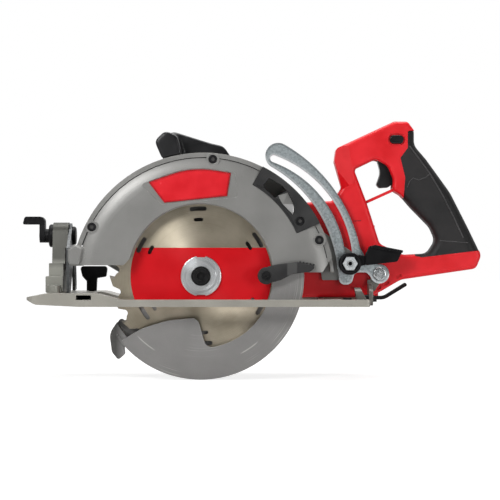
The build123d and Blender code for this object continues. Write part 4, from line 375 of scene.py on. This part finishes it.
# Small steel fixings: zinc plated pins and contacts, and screws, pins, a spring and the hook in black oxide.
# The plating is a patchwork of grey crystals; the oxide is thin and shows brown steel along its edges.
ZINC_DARK = (0.22, 0.24, 0.25)
ZINC_LIGHT = (0.52, 0.55, 0.56)
ZINC_EDGE = (0.80, 0.81, 0.81)
OXIDE_BLACK = (0.004, 0.004, 0.0045)
OXIDE_GREY = (0.014, 0.014, 0.015)
OXIDE_WORN = (0.16, 0.145, 0.13)
OXIDE_FLOOR = (0.09, 0.088, 0.085)
CLAMP_WORN = (0.020, 0.019, 0.018)
COVER_SOCKET = -55.1 * MM
EDGE_START = 0.999
EDGE_FULL = 0.982

spangle, spangle_in, spangle_out = start_group("zinc_spangle", {"Scale": 260.0}, ["Shade", "Height"])
spangle_place = spangle.nodes.new("ShaderNodeTexCoord")
spangle_cells = spangle.nodes.new("ShaderNodeTexVoronoi")
spangle_split = spangle.nodes.new("ShaderNodeSeparateColor")
spangle.links.new(spangle_place.outputs["Object"], spangle_cells.inputs["Vector"])
spangle.links.new(spangle_in.outputs["Scale"], spangle_cells.inputs["Scale"])
spangle.links.new(spangle_cells.outputs["Color"], spangle_split.inputs[0])
spangle_cloud = add_noise(spangle, 420, 5)
spangle_mix = weigh(spangle, spangle_split.outputs[0], 0.45, spangle_cloud, 0.60)
spangle.links.new(spangle_mix, spangle_out.inputs["Shade"])
spangle.links.new(spangle_cloud, spangle_out.inputs["Height"])


def reach_from(tree, x, z):
    """Distance from a line along Y through a place on the piece."""
    place = tree.nodes.new("ShaderNodeTexCoord")
    offset = tree.nodes.new("ShaderNodeVectorMath")
    offset.operation = "SUBTRACT"
    offset.inputs[1].default_value = (x, 0, z)
    flat = tree.nodes.new("ShaderNodeVectorMath")
    flat.operation = "MULTIPLY"
    flat.inputs[1].default_value = (1, 0, 1)
    reach = tree.nodes.new("ShaderNodeVectorMath")
    reach.operation = "LENGTH"
    tree.links.new(place.outputs["Object"], offset.inputs[0])
    tree.links.new(offset.outputs[0], flat.inputs[0])
    tree.links.new(flat.outputs[0], reach.inputs[0])
    return reach.outputs["Value"]


def zinc_plate(name, scale, dark=ZINC_DARK, light=ZINC_LIGHT, edge=ZINC_EDGE, edge_width=0.4, even=0.0,
               low_edge_reflection=None, rough=(0.50, 0.32), dents=0.02, rounding=0.3, shaded_hole=None):
    """Zinc plated steel with crystals of a size set by scale; a shaded hole is painted black within its
    radius, a painted shade, and edges that face down can take a painted reflection.
    """
    material, tree, shader = new_finish(name, 0.42, 0.9)
    cells = put_group(tree, spangle, scale=scale)
    rub = put_group(tree, edge_rub, width=edge_width * MM, amount=0.8, even=even)
    if even:
        rub.inputs["Start"].default_value = EDGE_START
        rub.inputs["Full"].default_value = EDGE_FULL
    color = blend_color(tree, cells.outputs["Shade"], dark, light)
    if low_edge_reflection:
        edge = blend_color(tree, remap(tree, rub.outputs["Up"], -0.1, 0.1), low_edge_reflection, edge)
    color = blend_color(tree, rub.outputs["Mask"], color, edge)
    if shaded_hole:
        in_shaded_hole = combine(tree, "LESS_THAN", reach_from(tree, shaded_hole[0], shaded_hole[1]), shaded_hole[2])
        color = blend_color(tree, in_shaded_hole, color, OXIDE_BLACK)
    tree.links.new(color, shader.inputs["Base Color"])
    tree.links.new(remap(tree, cells.outputs["Shade"], 0.2, 0.8, *rough), shader.inputs["Roughness"])
    soft_bump(tree, shader, cells.outputs["Height"], dents, rounding)
    return material


def black_oxide(name, socket_floor=None, worn=OXIDE_WORN, gloss=0.22):
    """Blackened steel, thin and brown on its edges; past the depth of its socket's floor it is worn grey."""
    material, tree, shader = new_finish(name, 0.4, 0.15)
    shader.inputs["Specular IOR Level"].default_value = gloss
    rub = put_group(tree, edge_rub, width=0.3 * MM, amount=0.9)
    cloud = add_noise(tree, 300, 4)
    color = blend_color(tree, spread(tree, cloud), OXIDE_BLACK, OXIDE_GREY)
    color = blend_color(tree, rub.outputs["Mask"], color, worn)
    if socket_floor is not None:
        sunk = combine(tree, "GREATER_THAN", split_place(tree)["Y"], socket_floor)
        toward = combine(tree, "LESS_THAN", split_place(tree, "Normal")["Y"], -0.9)
        color = blend_color(tree, combine(tree, "MULTIPLY", sunk, toward), color, OXIDE_FLOOR)
    tree.links.new(color, shader.inputs["Base Color"])
    tree.links.new(spread(tree, cloud, 0.30, 0.46), shader.inputs["Roughness"])
    soft_bump(tree, shader, cloud, 0.02, 0.25)
    return material


fixing_zinc = zinc_plate("fixing_zinc", 420)
fixing_black = black_oxide("fixing_black")
dress(fixing_zinc, "depth_pivot_pin", "contacts", "trigger_pin")
dress(fixing_black, "shoe_screws", "bevel_pins", "guard_lever_screw", "arbor_bolt", "guard_screws",
      "motor_screws", "handle_screws", "hook_screw", "guard_ring", "guard_spring", "rafter_hook")
dress(black_oxide("socket_black", COVER_SOCKET), "cover_screws")
dress(black_oxide("clamp_black", worn=CLAMP_WORN, gloss=0.08), "bevel_bolt")

# Levers and knobs: glass filled nylon, black, moulded with a fine spark eroded grain. Hands rub the raised
# edges a little paler, and the levers and the knob are duller than the trigger.
NYLON_BLACK = (0.0025, 0.0025, 0.003)
NYLON_GREY = (0.010, 0.010, 0.011)
TRIGGER_ROUGH = (0.24, 0.36)
KNOB_ROUGH = (0.34, 0.46)

moulded_grain, grain_in, grain_out = start_group("moulded_grain", {"Scale": 2200.0}, ["Height", "Shade"])
grain_place = moulded_grain.nodes.new("ShaderNodeTexCoord")
grain_cells = moulded_grain.nodes.new("ShaderNodeTexVoronoi")
moulded_grain.links.new(grain_place.outputs["Object"], grain_cells.inputs["Vector"])
moulded_grain.links.new(grain_in.outputs["Scale"], grain_cells.inputs["Scale"])
moulded_grain.links.new(grain_cells.outputs["Distance"], grain_out.inputs["Height"])
grain_cloud = remap(moulded_grain, add_noise(moulded_grain, 45, 5), 0.32, 0.70)
moulded_grain.links.new(grain_cloud, grain_out.inputs["Shade"])


def moulded_plastic(name, dark, light, rough, scale, depth, gloss=0.36):
    """Moulded plastic with an eroded grain; rough is its lowest and highest roughness."""
    material, tree, shader = new_finish(name, rough[0])
    shader.inputs["Specular IOR Level"].default_value = gloss
    grain = put_group(tree, moulded_grain, scale=scale)
    rub = put_group(tree, edge_rub, width=0.5 * MM, amount=0.35)
    color = blend_color(tree, grain.outputs["Shade"], dark, light)
    pale = tuple(min(1.0, 1.5 * c + 0.02) for c in light)
    color = blend_color(tree, rub.outputs["Mask"], color, pale)
    tree.links.new(color, shader.inputs["Base Color"])
    tree.links.new(remap(tree, grain.outputs["Shade"], 0.0, 1.0, *rough), shader.inputs["Roughness"])
    soft_bump(tree, shader, grain.outputs["Height"], depth, 0.6)
    return material


nylon_black = moulded_plastic("nylon_black", NYLON_BLACK, NYLON_GREY, TRIGGER_ROUGH, 1900, 0.02)
dress(nylon_black, "trigger", "lock_button", "terminal_block", "switch", "fan")
knob_black = moulded_plastic("knob_black", NYLON_BLACK, NYLON_GREY, KNOB_ROUGH, 1900, 0.02, gloss=0.12)
dress(knob_black, "bevel_lever", "fence_knob", "depth_lever")

# Depth arm: a stamping from galvanised sheet with soft crystals. Its edges carry painted light: a painted
# shade on those that face up and a painted reflection of the floor on those that face down. It swings on a
# pin at the back of the shoe, and the clamp bolt runs along its slot.
# Edge colours: a painted shade on edges facing up, a painted reflection on edges facing down.
EDGE_SHADE = (0.05, 0.055, 0.06)
EDGE_REFLECTION = (0.95, 0.96, 0.97)
ARM_DARK = (0.165, 0.195, 0.205)
ARM_LIGHT = (0.64, 0.70, 0.72)
sheet_zinc = zinc_plate("sheet_zinc", 600, ARM_DARK, ARM_LIGHT, EDGE_SHADE, edge_width=3.6, even=1.0,
                        low_edge_reflection=EDGE_REFLECTION, rounding=1.0)
dress(sheet_zinc, "depth_arm")

# Depth clamp fixings: the arm's pin and the clamp's bolt and nut, plated bright, with a painted shade along
# their edges. The bolt is drilled at its end, and its hole is painted black, a painted shade; the pin's head
# is dented where it was peened over.
BOLT_DARK = (0.42, 0.45, 0.46)
BOLT_LIGHT = (0.88, 0.91, 0.92)
BOLT_HOLE_R = 2.05 * MM
PIN_ROUGH = (0.30, 0.18)
bolt_low, bolt_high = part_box("depth_bolt")
# painted shade: the bolt's hole is painted black within its radius
bolt_end = ((bolt_low[0] + bolt_high[0]) / 2, (bolt_low[2] + bolt_high[2]) / 2, BOLT_HOLE_R)
bright_zinc = zinc_plate("bright_zinc", 520, BOLT_DARK, BOLT_LIGHT, EDGE_SHADE, edge_width=0.7, even=1.0,
                         shaded_hole=bolt_end)
dress(bright_zinc, "depth_bolt", "depth_nut")
peened_zinc = zinc_plate("peened_zinc", 330, BOLT_DARK, BOLT_LIGHT, EDGE_SHADE, edge_width=0.7, even=1.0,
                         rough=PIN_ROUGH, dents=0.2)
dress(peened_zinc, "arm_pin")

# Rear hinge: two small castings, pinned together at the back corner of the shoe. Their coat is painted a
# darker grey than the shoe's, a painted shade for the shadow at that corner.
HINGE_DARK = (0.115, 0.110, 0.097)
HINGE_LIGHT = (0.190, 0.182, 0.162)
# painted shade: a darker copy of the casting coat
hinge_shaded_coat = coated_casting("hinge_shaded_coat", HINGE_DARK, HINGE_LIGHT, 0.7)[0]
dress(hinge_shaded_coat, "rear_bracket", "rear_trunnion")

# Bevel quadrant: a stamping from the same sheet as the arm, in a much darker zinc all over, clamped
# behind the post.
QUADRANT_DARK = (0.045, 0.047, 0.048)
QUADRANT_LIGHT = (0.13, 0.135, 0.138)
QUADRANT_EDGE = (0.30, 0.31, 0.31)
sheet_dark = zinc_plate("sheet_dark", 260, QUADRANT_DARK, QUADRANT_LIGHT, QUADRANT_EDGE)
dress(sheet_dark, "bevel_quadrant")

# Guard castings: the upper guard with its bolted cover, the gear case and the bearing plate behind it, in the
# same coat as the shoe but a little cooler and greyer.
GUARD_DARK = (0.190, 0.188, 0.180)
GUARD_LIGHT = (0.275, 0.273, 0.262)
guard_coat = coated_casting("guard_coat", GUARD_DARK, GUARD_LIGHT, 0.6)[0]
dress(guard_coat, "guard_cover", "upper_guard", "gear_case", "bearing_plate")

# Cover joint: a thin bead of black rubber laid in the joint between the crown of the cover and the raised
# rim of the guard, a painted shade for the shadow in that joint. It is cut where the chute breaks the rim.
RIM_CENTRE = (2.2 * MM, 21.8 * MM)
JOINT_SHADE_REACH = 126.8 * MM
JOINT_SHADE_DEPTH = -52.75 * MM
JOINT_SHADE_RUNS = {"front": (63, 162), "rear": (12, 27)}
JOINT_SHADE_BLACK = (0.004, 0.004, 0.0042)
JOINT_SHADE_GREY = (0.012, 0.012, 0.0125)


def drawn_line(name, points, radius, material):
    """A thin round line through points, carried by the saw's body."""
    curve = bpy.data.curves.new(name, "CURVE")
    curve.dimensions = "3D"
    curve.bevel_depth = radius * MM
    curve.bevel_resolution = 2
    curve.use_fill_caps = True
    line = curve.splines.new("POLY")
    line.points.add(len(points) - 1)
    for place, point in zip(line.points, points):
        place.co = (*point, 1)
    curve.materials.append(material)
    piece = bpy.data.objects.new(name, curve)
    bpy.context.collection.objects.link(piece)
    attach(piece, "saw_body")


def round_place(centre, reach, turn, depth):
    """A place at a reach and a turn in degrees about a centre, seen from the blade's side."""
    across = centre[0] + reach * cos(radians(turn))
    above = centre[1] + reach * sin(radians(turn))
    return across, depth, above


# painted shade: a black bead along the shadowed joint
joint_shade_rubber = moulded_plastic("joint_shade_rubber", JOINT_SHADE_BLACK, JOINT_SHADE_GREY, (0.42, 0.58), 1100, 0.02)
for label, (first, last) in JOINT_SHADE_RUNS.items():
    joint_shade_points = [round_place(RIM_CENTRE, JOINT_SHADE_REACH, turn, JOINT_SHADE_DEPTH) for turn in range(first, last + 1)]
    drawn_line("cover_joint_shade_" + label, joint_shade_points, 0.55, joint_shade_rubber)

# Badge plate: a plain moulded plate, glossy red with a painted shade along its border, pressed into a
# shallow bevelled recess of the cover.
BADGE_DARK = (0.62, 0.007, 0.014)
BADGE_LIGHT = (0.74, 0.014, 0.024)
BADGE_GAP_SHADE = (0.16, 0.002, 0.004)
badge_gloss, badge_tree, badge_shader = new_finish("badge_gloss", 0.22)
badge_shader.inputs["Coat Weight"].default_value = 0.6
badge_shader.inputs["Coat Roughness"].default_value = 0.12
badge_cloud = add_noise(badge_tree, 60, 4)
badge_color = blend_color(badge_tree, spread(badge_tree, badge_cloud), BADGE_DARK, BADGE_LIGHT)
# painted shade round the badge's border
badge_gap_shade = put_group(badge_tree, edge_rub, width=3.0 * MM, amount=1.0, even=1.0,
                         start=EDGE_START, full=EDGE_FULL)
badge_color = blend_color(badge_tree, badge_gap_shade.outputs["Mask"], badge_color, BADGE_GAP_SHADE)
badge_tree.links.new(badge_color, badge_shader.inputs["Base Color"])
badge_tree.links.new(spread(badge_tree, badge_cloud, 0.18, 0.28), badge_shader.inputs["Roughness"])
soft_bump(badge_tree, badge_shader, add_noise(badge_tree, 900, 2), 0.006, 0.8)
dress(badge_gloss, "badge_plate")

# Dust chute and guard lever: dark grey nylon, coarser than the knobs. Sawdust leaves a faint bloom on both,
# the chute's mouth is painted black inside, a painted shade, and a paler patch on the lever is a painted
# highlight on one of its facets.
CHUTE_FINISH = ((0.012, 0.012, 0.0125), (0.030, 0.0295, 0.0295), (0.40, 0.56), 1500, 0.05)
MOUTH_SHADE = (0.001, 0.001, 0.001)
MOUTH_EDGE = -55.6 * MM
MOUTH_FLOOR = -54.0 * MM
FACET_HIGHLIGHT = (0.090, 0.089, 0.087)
FACET_HIGHLIGHT_X = 91.3 * MM
FACET_HIGHLIGHT_HALF = (5.4 * MM, 4.4 * MM)


def paint_over(material, mask, color):
    """Lays a colour over a finish where a mask says so."""
    tree = material.node_tree
    under = tree.nodes["Principled BSDF"].inputs["Base Color"]
    tree.links.new(blend_color(tree, mask, under.links[0].from_socket, color), under)


def away_from(tree, value, middle):
    """How far a value lies from a middle, to either side."""
    return combine(tree, "ABSOLUTE", combine(tree, "SUBTRACT", value, middle))


chute_nylon = moulded_plastic("chute_nylon", *CHUTE_FINISH)
chute_tree = chute_nylon.node_tree
# painted shade: black deep in the chute's mouth
chute_mouth_shade = remap(chute_tree, split_place(chute_tree)["Y"], MOUTH_EDGE, MOUTH_FLOOR)
paint_over(chute_nylon, chute_mouth_shade, MOUTH_SHADE)
dress(chute_nylon, "dust_chute")

lever_nylon = moulded_plastic("lever_nylon", *CHUTE_FINISH)
lever_tree = lever_nylon.node_tree
# painted highlight: a paler band across the lever, standing for a lit facet
facet_highlight_off = away_from(lever_tree, split_place(lever_tree)["X"], FACET_HIGHLIGHT_X)
paint_over(lever_nylon, remap(lever_tree, facet_highlight_off, *FACET_HIGHLIGHT_HALF, 0.0, 0.6), FACET_HIGHLIGHT)
dress(lever_nylon, "guard_lever")

# Vane: a small cast blade with one fold across it, which stands on the ramp in the mouth of the chute and
# throws the dust outward. It has the coat of the guard above the fold and a paler copy below it, a painted
# highlight.
ARBOR = (0.0, 30 * MM)
VANE_CORNERS = [(110.9, 33.8, -54.5), (114.0, 35.1, -54.3), (117.3, 37.8, -53.2), (109.2, 41.4, -53.2),
                (120.6, 43.8, -49.6), (112.0, 46.3, -49.4)]
VANE_DARK = (0.34, 0.337, 0.335)
VANE_LIGHT = (0.46, 0.456, 0.452)
VANE_THICKNESS = 0.8 * MM
VANE_ROUNDING = 0.15 * MM

vane_mesh = bpy.data.meshes.new("chute_vane")
vane_form = bmesh.new()
vane_points = []
for reach, turn, depth in VANE_CORNERS:
    vane_points.append(vane_form.verts.new(round_place(ARBOR, reach * MM, turn, depth * MM)))
vane_form.faces.new([vane_points[i] for i in (0, 1, 2, 3)])
vane_form.faces.new([vane_points[i] for i in (3, 2, 4, 5)]).material_index = 1
bmesh.ops.recalc_face_normals(vane_form, faces=vane_form.faces)
vane_form.to_mesh(vane_mesh)
vane_form.free()
chute_vane = bpy.data.objects.new("chute_vane", vane_mesh)
bpy.context.collection.objects.link(chute_vane)
vane_body = chute_vane.modifiers.new("thickness", "SOLIDIFY")
vane_body.thickness = VANE_THICKNESS
vane_edge = chute_vane.modifiers.new("rounding", "BEVEL")
vane_edge.width = VANE_ROUNDING
vane_edge.segments = 2
# painted highlight: a paler copy of the guard coat on the lower facet
vane_lit_coat = coated_casting("vane_lit_coat", VANE_DARK, VANE_LIGHT, 0.5)[0]
vane_mesh.materials.append(vane_lit_coat)
vane_mesh.materials.append(guard_coat)
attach(chute_vane, "saw_body")

# Front handle: a black moulded bar, screwed behind the guard. The skin over it is soft, so it is the bar's
# own form with every edge rounded off.
BAR_BLACK = (0.003, 0.003, 0.0035)
BAR_VOXEL = 1.1 * MM
bar_skin = moulded_plastic("bar_skin", BAR_BLACK, NYLON_GREY, (0.28, 0.40), 1300, 0.03)
dress(bar_skin, "aux_handle")
front_bar_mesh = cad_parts["aux_handle"].data.copy()
front_bar = bpy.data.objects.new("front_bar", front_bar_mesh)
bpy.context.collection.objects.link(front_bar)
bar_form = front_bar.modifiers.new("even_form", "REMESH")
bar_form.mode = "VOXEL"
bar_form.voxel_size = BAR_VOXEL
bar_form.use_smooth_shade = True
bar_round = front_bar.modifiers.new("rounding", "SMOOTH")
bar_round.factor = 0.5
bar_round.iterations = 24
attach(front_bar, "saw_body")
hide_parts("aux_handle")

# Lower guard: a thinner casting in a like coat. It swings inside the upper guard, which draws fine rings on
# its faces round the arbor. Two longer bright arcs round the arbor are painted highlights, and its lip is
# painted dark, a painted shade.
LOWER_DARK = (0.200, 0.196, 0.191)
LOWER_LIGHT = (0.290, 0.284, 0.277)
LIP_SHADE = (0.040, 0.039, 0.037)
LIP_FOOT, LIP_FULL = -76 * MM, -85 * MM
ARC_HIGHLIGHT_REACH = 87 * MM
ARC_HIGHLIGHT_HALF = (0.8 * MM, 0.2 * MM)
ARC_HIGHLIGHT_MIDDLE = -3 * MM
ARC_HIGHLIGHT_START = (42 * MM, 46 * MM)
ARC_HIGHLIGHT_END = (61 * MM, 57 * MM)
lower_coat, lower_tree, lower_shader, lower_color = coated_casting("lower_coat", LOWER_DARK, LOWER_LIGHT, 0.7)


def rings_about_arbor(tree, spacing):
    """Distance from the arbor and a noise drawn out into rings round it."""
    reach = reach_from(tree, *ARBOR)
    rings = tree.nodes.new("ShaderNodeTexNoise")
    rings.noise_dimensions = "1D"
    rings.inputs["Scale"].default_value = 1 / (spacing * MM)
    rings.inputs["Detail"].default_value = 4
    tree.links.new(reach, rings.inputs["W"])
    return reach, rings.outputs["Fac"]


lower_reach, lower_rings = rings_about_arbor(lower_tree, 1.4)
lower_patch = remap(lower_tree, add_noise(lower_tree, 28, 4), 0.50, 0.66)
lower_mark = remap(lower_tree, lower_rings, 0.60, 0.72, 0.0, 0.45)
lower_mark = combine(lower_tree, "MULTIPLY", lower_mark, lower_patch)
lower_color = blend_color(lower_tree, lower_mark, lower_color, BARE_METAL)
lower_place = split_place(lower_tree)
# painted highlight: two bright arcs round the arbor
arc_highlight = remap(lower_tree, away_from(lower_tree, lower_reach, ARC_HIGHLIGHT_REACH), *ARC_HIGHLIGHT_HALF, 0.0, 0.55)
arc_highlight_side = away_from(lower_tree, lower_place["X"], ARC_HIGHLIGHT_MIDDLE)
for limit in (remap(lower_tree, arc_highlight_side, *ARC_HIGHLIGHT_START),
              remap(lower_tree, arc_highlight_side, *ARC_HIGHLIGHT_END),
              combine(lower_tree, "LESS_THAN", lower_place["Z"], 0.0)):
    arc_highlight = combine(lower_tree, "MULTIPLY", arc_highlight, limit)
lower_color = blend_color(lower_tree, arc_highlight, lower_color, BARE_METAL)
# painted shade: the lip darkens towards its front
lip_shade = remap(lower_tree, lower_place["X"], LIP_FOOT, LIP_FULL, 0.0, 0.85)
lower_color = blend_color(lower_tree, lip_shade, lower_color, LIP_SHADE)
lower_tree.links.new(lower_color, lower_shader.inputs["Base Color"])
dress(lower_coat, "lower_guard")

# Blade: a ground steel plate, lacquered bronze grey, with brushing in rings. A plain red band is printed
# across its middle; the carbide tips are brazed on and left dull.
BLADE_DARK = (0.340, 0.300, 0.225)
BLADE_LIGHT = (0.560, 0.500, 0.395)
BAND_DARK = (0.54, 0.004, 0.008)
BAND_LIGHT = (0.66, 0.008, 0.014)
BAND_REACH = 71 * MM
BAND_TOP = 58.5 * MM
BAND_FOOT = 2.0 * MM
TIP_DARK = (0.22, 0.20, 0.175)
TIP_LIGHT = (0.40, 0.36, 0.30)


def brush_round_arbor(tree, shader, amount):
    """Stretches the gloss away from the arbor, as on metal that is ground in rings round it."""
    shader.inputs["Anisotropic"].default_value = amount
    place = tree.nodes.new("ShaderNodeTexCoord")
    from_arbor = tree.nodes.new("ShaderNodeVectorMath")
    from_arbor.operation = "SUBTRACT"
    from_arbor.inputs[1].default_value = (ARBOR[0], 0, ARBOR[1])
    turned = tree.nodes.new("ShaderNodeVectorTransform")
    turned.vector_type = "VECTOR"
    turned.convert_from, turned.convert_to = "OBJECT", "WORLD"
    tree.links.new(place.outputs["Object"], from_arbor.inputs[0])
    tree.links.new(from_arbor.outputs[0], turned.inputs[0])
    tree.links.new(turned.outputs[0], shader.inputs["Tangent"])


blade_steel, blade_tree, blade_shader = new_finish("blade_steel", 0.34, 1.0)
blade_reach, blade_rings = rings_about_arbor(blade_tree, 0.35)
blade_cloud = spread(blade_tree, add_noise(blade_tree, 30, 3))
blade_grind = weigh(blade_tree, blade_rings, 0.65, blade_cloud, 0.35)
blade_color = blend_color(blade_tree, spread(blade_tree, blade_grind), BLADE_DARK, BLADE_LIGHT)
band_height = split_place(blade_tree)["Z"]
band_mask = combine(blade_tree, "LESS_THAN", blade_reach, BAND_REACH)
for limit in (combine(blade_tree, "LESS_THAN", band_height, BAND_TOP),
              combine(blade_tree, "GREATER_THAN", band_height, BAND_FOOT)):
    band_mask = combine(blade_tree, "MULTIPLY", band_mask, limit)
band_red = blend_color(blade_tree, blade_cloud, BAND_DARK, BAND_LIGHT)
blade_color = blend_color(blade_tree, band_mask, blade_color, band_red)
blade_tree.links.new(blade_color, blade_shader.inputs["Base Color"])
blade_tree.links.new(remap(blade_tree, band_mask, 0, 1, 1.0, 0.0), blade_shader.inputs["Metallic"])
blade_tree.links.new(spread(blade_tree, blade_rings, 0.28, 0.44), blade_shader.inputs["Roughness"])
blade_shader.inputs["Specular IOR Level"].default_value = 0.15
brush_round_arbor(blade_tree, blade_shader, 0.8)
soft_bump(blade_tree, blade_shader, blade_rings, 0.004, 0.2)
dress(blade_steel, "blade")

tip_carbide, tip_tree, tip_shader = new_finish("tip_carbide", 0.38, 0.8)
tip_cloud = spread(tip_tree, add_noise(tip_tree, 700, 4))
tip_tree.links.new(blend_color(tip_tree, tip_cloud, TIP_DARK, TIP_LIGHT), tip_shader.inputs["Base Color"])
soft_bump(tip_tree, tip_shader, tip_cloud, 0.02, 0.15)
dress(tip_carbide, "carbide_tips")

# Arbor: turned steel flanges, spindle and gears, brushed in rings by the lathe. The bolt that holds them is
# blackened.
STEEL_DARK = (0.56, 0.58, 0.59)
STEEL_LIGHT = (0.88, 0.90, 0.91)
turned_steel, turned_tree, turned_shader = new_finish("turned_steel", 0.3, 1.0)
turned_rings = rings_about_arbor(turned_tree, 0.25)[1]
turned_color = blend_color(turned_tree, spread(turned_tree, turned_rings), STEEL_DARK, STEEL_LIGHT)
turned_tree.links.new(turned_color, turned_shader.inputs["Base Color"])
turned_tree.links.new(spread(turned_tree, turned_rings, 0.24, 0.38), turned_shader.inputs["Roughness"])
brush_round_arbor(turned_tree, turned_shader, 0.6)
soft_bump(turned_tree, turned_shader, turned_rings, 0.01, 0.3)
dress(turned_steel, "outer_flange", "inner_flange", "spindle", "drive_gear", "pinion", "rotor", "stator",
      "front_spindle_bearing", "small_bearings")

# Motor windings and controller: enamelled copper wire, laid along the motor, and a dark block of potting
# resin. Both are closed inside the housing.
COPPER_DARK = (0.42, 0.17, 0.06)
COPPER_LIGHT = (0.72, 0.36, 0.17)
WIRE_STRETCH = (2200, 60, 2200)
POTTING_DARK = (0.02, 0.022, 0.024)
POTTING_LIGHT = (0.05, 0.054, 0.058)
copper_wire, copper_tree, copper_shader = new_finish("copper_wire", 0.35, 0.9)
copper_lines = add_noise(copper_tree, 1.0, 3, WIRE_STRETCH)
copper_color = blend_color(copper_tree, copper_lines, COPPER_DARK, COPPER_LIGHT)
copper_tree.links.new(copper_color, copper_shader.inputs["Base Color"])
soft_bump(copper_tree, copper_shader, copper_lines, 0.05, 0.3)
dress(copper_wire, "stator_coils")
potting = moulded_plastic("potting", POTTING_DARK, POTTING_LIGHT, (0.3, 0.45), 700, 0.02)
dress(potting, "control_board")

# Handle halves and motor housing: red glass filled nylon with a fine grain, screwed together along the middle
# of the handle.
RED_DARK = (0.66, 0.005, 0.010)
RED_LIGHT = (0.80, 0.011, 0.020)
nylon_red = moulded_plastic("nylon_red", RED_DARK, RED_LIGHT, (0.34, 0.48), 1700, 0.03)
dress(nylon_red, "handle_left", "handle_right", "motor_housing")

# Overmould: a thick black rubber skin moulded over the back of the handle. It is matt, a little uneven, and
# stippled so that it doesn't slip in the hand; the band round the palm is painted darker than the sides, a
# painted shade.
GRIP_DARK = (0.007, 0.0065, 0.0068)
GRIP_LIGHT = (0.020, 0.0185, 0.019)
PALM_SHADE = (0.0035, 0.0033, 0.0034)
PALM_CENTRE = (-85.7 * MM, -74.3 * MM)
PALM_EDGE = (379.6 * MM, 380.4 * MM)
soft_grip = moulded_plastic("soft_grip", GRIP_DARK, GRIP_LIGHT, (0.50, 0.66), 1100, 0.06)
grip_tree = soft_grip.node_tree
# painted shade: the band round the palm is darker
palm_shade = remap(grip_tree, reach_from(grip_tree, *PALM_CENTRE), *PALM_EDGE)
paint_over(soft_grip, palm_shade, PALM_SHADE)
dress(soft_grip, "grip_left", "grip_right")

# Seams: raised rubber welts where the grip's mould was split, round the palm and the fingers on both sides
# and across the heel on the near one, and the step in the near side of the handle's front column. Each lies
# on the face of the piece that carries it. The welts are paler than the grip, a painted highlight along them,
# and the step is a thin black line, a painted shade.
PALM_WELT = [(211.6, 162.0), (219.6, 151.4), (232.8, 133.2), (245.6, 111.2), (257.8, 86.8), (267.5, 66.0)]
FINGER_WELT = [(209.3, 120.0), (211.7, 126.0), (215.3, 129.5), (221.5, 127.3), (228.6, 130.6), (232.6, 134.0)]
HEEL_WELT = [(242.5, 65.8), (250.3, 65.1), (263.7, 64.2), (272.0, 63.6)]
COLUMN_STEP = [(154.0, 85.6), (163.5, 86.2)]
WELT_DARK = (0.040, 0.038, 0.039)
WELT_LIGHT = (0.068, 0.065, 0.066)
WELT_STEPS = 8
CLEAR_OF_SAW = 200 * MM


def laid_line(name, node, side, places, radius, material):
    """A thin line over the near (-1) or far (1) face of a piece, along places given across and up."""
    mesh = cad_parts[node].data
    surface = BVHTree.FromPolygons([v.co for v in mesh.vertices], [p.vertices for p in mesh.polygons])
    points = []
    for start, end in zip(places, places[1:]):
        for step in range(WELT_STEPS):
            across, above = Vector(start).lerp(Vector(end), step / WELT_STEPS) * MM
            outside = Vector((across, side * CLEAR_OF_SAW, above))
            points.append(surface.ray_cast(outside, Vector((0, -side, 0)))[0])
    drawn_line(name, points, radius, material)


# painted highlight: the welts are paler than the grip
welt_highlight_rubber = moulded_plastic("welt_highlight_rubber", WELT_DARK, WELT_LIGHT, (0.32, 0.46), 1100, 0.03)
for half, side in (("left", -1), ("right", 1)):
    laid_line("palm_welt_" + half, "grip_" + half, side, PALM_WELT, 0.75, welt_highlight_rubber)
    laid_line("finger_welt_" + half, "grip_" + half, side, FINGER_WELT, 0.45, welt_highlight_rubber)
laid_line("heel_welt", "grip_left", -1, HEEL_WELT, 0.5, welt_highlight_rubber)
# painted shade: a thin black line along the column's step
laid_line("column_step_shade", "handle_left", -1, COLUMN_STEP, 0.3, fixing_black)
